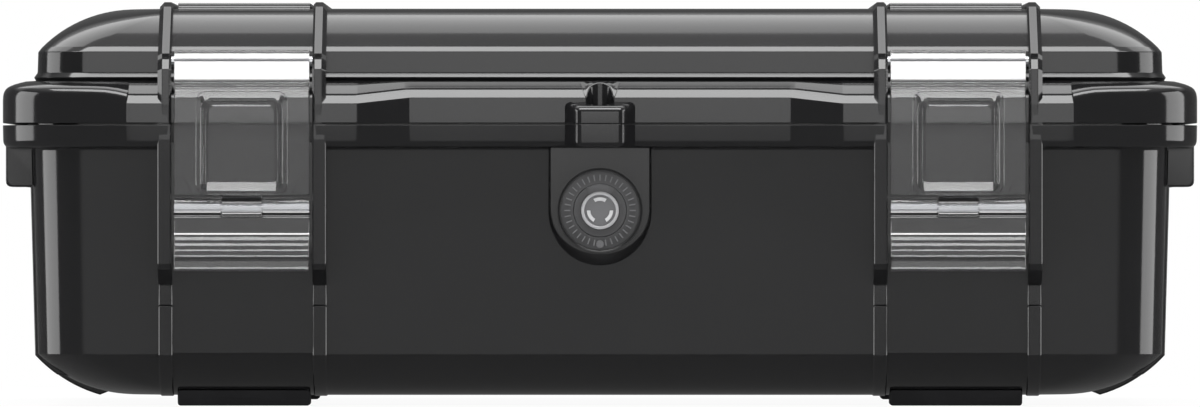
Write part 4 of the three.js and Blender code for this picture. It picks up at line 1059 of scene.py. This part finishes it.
def drawn_steel(name, stretch):
    """Drawn stainless rod: bright, with fine streaks along its length."""
    material, tree, place = start_material(name)
    along = add_node(tree, "ShaderNodeMapping", {"Vector": place, "Scale": stretch}).outputs[0]
    streaks = noise(tree, along, 3.0, 4.0)
    finish_surface(tree, {
        "Base Color": two_tone(tree, streaks, (0.54, 0.55, 0.57), (0.7, 0.71, 0.73)), "Metallic": 1.0,
        "Normal": bumps(tree, 0.12, 0.00004, streaks),
        "Roughness": ramp(tree, streaks, 0.3, 0.7, 0.16, 0.3)})
    return material


steel_crosswise = drawn_steel("steel_crosswise", (6.0, 900.0, 900.0))
steel_lengthwise = drawn_steel("steel_lengthwise", (900.0, 6.0, 900.0))
for side, sign in SIDES:
    middle = sign * LATCH_X
    pins = [("pivot_pin", f"latch_pivot_pin_{side}", "lid", PIN_RADIUS, BAY_HALF + PIN_SEAT,
             PIVOT_Y, PIVOT_Z),
            ("hook_pin", f"latch_hook_pin_{side}", f"hook_{side}", PIN_RADIUS, LEVER_HALF,
             PIVOT_Y - HOOK_DEPTH, PIVOT_Z - HOOK_DROP),
            ("hinge_rod", f"hinge_pin_{side}", "base", BIG_PIN_RADIUS, HINGE_PIN_HALF,
             HINGE_Y, HINGE_Z)]
    for name, node, body, radius, reach, y, z in pins:
        pin = rod(radius, middle - reach, middle + reach, (y, z), "X", PIN_EDGE)
        make_piece(f"{name}_{side}", [pin], steel_crosswise, body, node)
    for place, at_y in (("front", -STRAP_Y), ("rear", STRAP_Y)):
        bar = rod(BIG_PIN_RADIUS, at_y - STRAP_BAR_HALF, at_y + STRAP_BAR_HALF,
                  (sign * STRAP_BAR_X, STRAP_BAR_Z), "Y", PIN_EDGE)
        make_piece(f"strap_rod_{place}_{side}", [bar], steel_lengthwise, "base",
                   f"strap_bar_{place}_{side}")


# Valve housing and nut. Satin black plastic: a flanged stem through the front wall with a seat for the
# membrane, a rubber O-ring behind the flange and a six-sided nut on the inside.
VALVE_STEPS = 96
VENT_RADIUS = 1.6
STEM_RADIUS = 7
STEM_LENGTH = 13.3
SEAT_RADIUS = 8.5
SEAT_DEPTH = -1.5
WELL_RADIUS = 12.2
FLANGE_RADIUS = 12.9
FLANGE_BACK = -0.3
NUT_RADIUS = 12.7
NUT_BORE = 7.3
NUT_BACK = 8.28
NUT_THICKNESS = 5
RING_RADIUS = 9.5
RING_SECTION = 0.85


def turned(profile, corner_steps=4, start=0, end=360):
    """A profile of (radius, depth) turned about the valve's axis, all round or through part of a turn."""
    section = fillet(profile, corner_steps, closed=True)
    whole = end - start == 360
    steps = max(round(VALVE_STEPS * (end - start) / 360), 4)
    rings = []
    for step in range(steps + (0 if whole else 1)):
        turn = math.radians(start + (end - start) * step / steps)
        rings.append([(radius * math.sin(turn), PLATE_FRONT + depth, VALVE_Z + radius * math.cos(turn))
                      for radius, depth in section])
    return skin_rings(rings, closed=whole)


def hexagon_nut():
    turns = [math.radians(60 * i) for i in range(6)]
    corners = [(NUT_RADIUS * math.cos(turn), VALVE_Z + NUT_RADIUS * math.sin(turn), 0.8)
               for turn in turns]
    low = PLATE_FRONT + NUT_BACK
    nut = prism(corners, low, low + NUT_THICKNESS, "Y", 0.5)
    return carve(nut, [rod(NUT_BORE, low - 1, low + NUT_THICKNESS + 1, (0, VALVE_Z), "Y", steps=64)])


valve_black = moulded_plastic("valve_black", (0.009, 0.009, 0.0095), 0.16, 0.05, 2600)
housing = turned([(VENT_RADIUS, SEAT_DEPTH), (SEAT_RADIUS, SEAT_DEPTH), (SEAT_RADIUS, -3.5, 0.2),
                  (WELL_RADIUS, -3.5), (WELL_RADIUS, -4.45, 0.1), (FLANGE_RADIUS, -4.85, 0.15),
                  (FLANGE_RADIUS, FLANGE_BACK, 0.2), (STEM_RADIUS, FLANGE_BACK),
                  (STEM_RADIUS, STEM_LENGTH, 0.5), (VENT_RADIUS, STEM_LENGTH, 0.2)])
make_piece("valve_body", [housing], valve_black, "base", "valve_housing")
make_piece("valve_lock_nut", [hexagon_nut()], valve_black, "base", "valve_nut")
ring_section = [(radius, RING_SECTION + depth) for radius, depth in
                arc_points((RING_RADIUS, 0), RING_SECTION, 0, 345, 23)]
make_piece("valve_sealing_ring", [turned(ring_section)], rubber_black, "base", "valve_o_ring",
           smooth_below=60)


# Valve membrane and hub. A white breathable disc lies on the seat, held by a light grey moulded hub
# with a raised ring and three curved slots in its face. The hub's recessed face is painted darker as
# shade, and the arches of its slots paler as painted highlights.
HUB_RADIUS = 5.7
HUB_FRONT = -6.1
HUB_FACE = -5.55
HUB_BACK = -3.2
DISC_RADIUS = 8.2
SLOT_INNER = 2.9
SLOT_OUTER = 4.0
SLOT_HALF = 30


def woven_membrane(name):
    """A thin breathable sheet with a fine woven face."""
    material, tree, place = start_material(name)
    weave = add_node(tree, "ShaderNodeTexVoronoi", {"Vector": place, "Scale": 3500.0}).outputs["Distance"]
    finish_surface(tree, {
        "Base Color": two_tone(tree, weave, (0.86, 0.86, 0.83), (0.74, 0.74, 0.71)), "Roughness": 0.8,
        "Normal": bumps(tree, 0.4, 0.0001, weave)})
    return material


def disc(radius, front, back, edge):
    circle = arc_points((0, VALVE_Z), radius, 0, 360 - 360 / VALVE_STEPS, VALVE_STEPS - 1)
    return prism(circle, PLATE_FRONT + front, PLATE_FRONT + back, "Y", edge, 2)


membrane_white = woven_membrane("membrane_white")
make_piece("breathing_disc", [disc(DISC_RADIUS, -2.2, -1.8, 0.1)], membrane_white, "base",
           "valve_membrane")
hub_grey = moulded_plastic("hub_grey", (0.36, 0.36, 0.37), 0.16, 0.05, 2600)
# Painted shade: a darker copy of the hub's grey, for its recessed face and the flange disc behind it.
hub_painted_shade = moulded_plastic("hub_painted_shade", (0.11, 0.11, 0.115), 0.2, 0.05, 2600)
# Painted highlight: a paler copy of the hub's grey, for the arches of its slots.
hub_painted_highlight = moulded_plastic("hub_painted_highlight", (0.5, 0.5, 0.51), 0.2, 0.05, 2600)
hub_parts = [disc(DISC_RADIUS, -3.5, -2.5, 0.15), disc(4.7, HUB_FACE, -3.0, 0.1)]
hub_ring = turned([(4.5, HUB_BACK), (4.75, HUB_FRONT, 0.3), (5.35, HUB_FRONT, 0.3),
                   (HUB_RADIUS, -5.6, 0.2), (HUB_RADIUS, HUB_BACK)])
arch = [(SLOT_INNER, HUB_FACE + 0.1), (SLOT_INNER, HUB_FACE - 0.25, 0.1),
        (SLOT_OUTER, HUB_FACE - 0.4, 0.15), (SLOT_OUTER, HUB_FACE + 0.1)]
slots = [turned(arch, 3, middle - SLOT_HALF, middle + SLOT_HALF) for middle in (0, 120, 240)]
make_piece("valve_centre", hub_parts, hub_painted_shade, "base", "valve_hub")
make_piece("valve_centre_ring", [hub_ring], hub_grey, "base", "valve_hub")
make_piece("valve_centre_slots", slots, hub_painted_highlight, "base", "valve_hub")


# Valve cap. A slightly domed satin disc that snaps into the housing's rim round the hub, with a vent
# window at the top, and a ring of plain raised ticks and one plain dot moulded on its face.
CAP_RADIUS = 11.85
CAP_HOLE = 6.0
CAP_BACK = -3.8
WINDOW_RADIUS = 8.0
WINDOW_HALF = 34
TICK_RADIUS = 9.9
TICK_COUNT = 36
TICK_SIZE = (1.9, 0.42, 0.7)
DOT_FROM_AXIS = 10.2
DOT_RADIUS = 1.2


def cap_front(radius):
    """The depth of the domed face at a radius."""
    return -5.5 + 1.2 * (radius / CAP_RADIUS) ** 2.4


def face_line(*radii):
    return [(radius, cap_front(radius)) for radius in radii]


def tick_tree():
    """Geometry nodes: small bars stood radially round a circle that faces the front."""
    tree = bpy.data.node_groups.new("ring_of_ticks", "GeometryNodeTree")
    wanted = {"Geometry": "Geometry", "Count": "Int", "Radius": "Float", "Size": "Vector",
              "Centre": "Vector", "Material": "Material"}
    for name, kind in wanted.items():
        tree.interface.new_socket(name, in_out="INPUT", socket_type="NodeSocket" + kind)
    tree.interface.new_socket("Geometry", in_out="OUTPUT", socket_type="NodeSocketGeometry")
    given = tree.nodes.new("NodeGroupInput").outputs

    def step(kind, inputs=None):
        return add_node(tree, "GeometryNode" + kind, inputs).outputs[0]

    turn = combine(tree, "MULTIPLY", step("InputIndex"), combine(tree, "DIVIDE", math.tau, given["Count"]))
    turn = add_node(tree, "ShaderNodeCombineXYZ", {"Z": turn}).outputs[0]
    circle = step("MeshCircle", {"Vertices": given["Count"], "Radius": given["Radius"]})
    bar = step("MeshCube", {"Size": given["Size"]})
    bars = step("InstanceOnPoints", {"Points": circle, "Instance": bar, "Rotation": turn})
    stood = step("Transform", {"Geometry": bars, "Translation": given["Centre"],
                               "Rotation": (math.pi / 2, 0, 0)})
    real = step("RealizeInstances", {"Geometry": stood})
    coated = step("SetMaterial", {"Geometry": real, "Material": given["Material"]})
    tree.links.new(coated, tree.nodes.new("NodeGroupOutput").inputs[0])
    return tree


def grow(name, tree, values):
    """Runs a geometry nodes tree on an empty mesh and returns the plain mesh that it makes."""
    holder = bpy.data.objects.new(name, bpy.data.meshes.new(name))
    bpy.context.collection.objects.link(holder)
    step = holder.modifiers.new("nodes", "NODES")
    step.node_group = tree
    for item in tree.interface.items_tree:
        if item.in_out == "INPUT" and item.name in values:
            step[item.identifier] = values[item.name]
    bpy.context.view_layer.update()
    shape = holder.evaluated_get(bpy.context.evaluated_depsgraph_get())
    mesh = bpy.data.meshes.new_from_object(shape)
    holder.modifiers.clear()
    bpy.data.objects.remove(holder)
    return mesh


cap_satin = moulded_plastic("cap_satin", (0.05, 0.05, 0.052), 0.4, 0.1, 2600)
tick_satin = moulded_plastic("tick_satin", (0.1, 0.1, 0.104), 0.3, 0.1, 2600)
tick_depth = PLATE_FRONT + cap_front(TICK_RADIUS)
tick_mesh = grow("cap_ticks", tick_tree(), {
    "Count": TICK_COUNT, "Radius": TICK_RADIUS, "Size": TICK_SIZE, "Centre": (0.0, tick_depth, VALVE_Z),
    "Material": tick_satin})
ticks = bmesh.new()
ticks.from_mesh(tick_mesh)
bpy.data.meshes.remove(tick_mesh)
outer_face = face_line(11.65, 11.0, 10.2, 9.4, 8.7, WINDOW_RADIUS + 0.15)
outer_ring = turned([(WINDOW_RADIUS, CAP_BACK), (CAP_RADIUS, CAP_BACK), (CAP_RADIUS, -4.2, 0.1),
                     *outer_face, (WINDOW_RADIUS, cap_front(WINDOW_RADIUS) + 0.2)])
inner_face = face_line(WINDOW_RADIUS - 0.1, 7.4, 6.8)
inner_ring = turned([(CAP_HOLE, CAP_BACK), (WINDOW_RADIUS + 0.05, CAP_BACK), *inner_face,
                     (CAP_HOLE, -5.4)], 4, WINDOW_HALF, 360 - WINDOW_HALF)
make_piece("valve_disc", [outer_ring, inner_ring], cap_satin, "base", "valve_cap")
dot_depth = PLATE_FRONT + cap_front(DOT_FROM_AXIS)
dot = rod(DOT_RADIUS, dot_depth - 0.35, dot_depth + 0.5, (0, VALVE_Z - DOT_FROM_AXIS), "Y", 0.15)
make_piece("valve_disc_ticks", [ticks, dot], tick_satin, "base", "valve_cap")


# Feet. Four blocks of black rubber pressed onto the underside below the latches, with rounded edges
# and a sloped toe, so that the case doesn't slide.
FOOT_HALF = 20.1
FOOT_EDGE = 0.9
FOOT_LINE = [(-111, 4.7), (-107.4, 0, 1.4), (-84, 0, 1.0), (-84, 4.2)]
for side, sign in SIDES:
    for place, facing in (("front", 1), ("rear", -1)):
        outline = [(facing * y, *rest) for y, *rest in FOOT_LINE]
        middle = sign * LATCH_X
        block = prism(outline, middle - FOOT_HALF, middle + FOOT_HALF, edge=FOOT_EDGE, steps=4)
        make_piece(f"rubber_foot_{place}_{side}", [block], rubber_black, "base", f"foot_{place}_{side}")
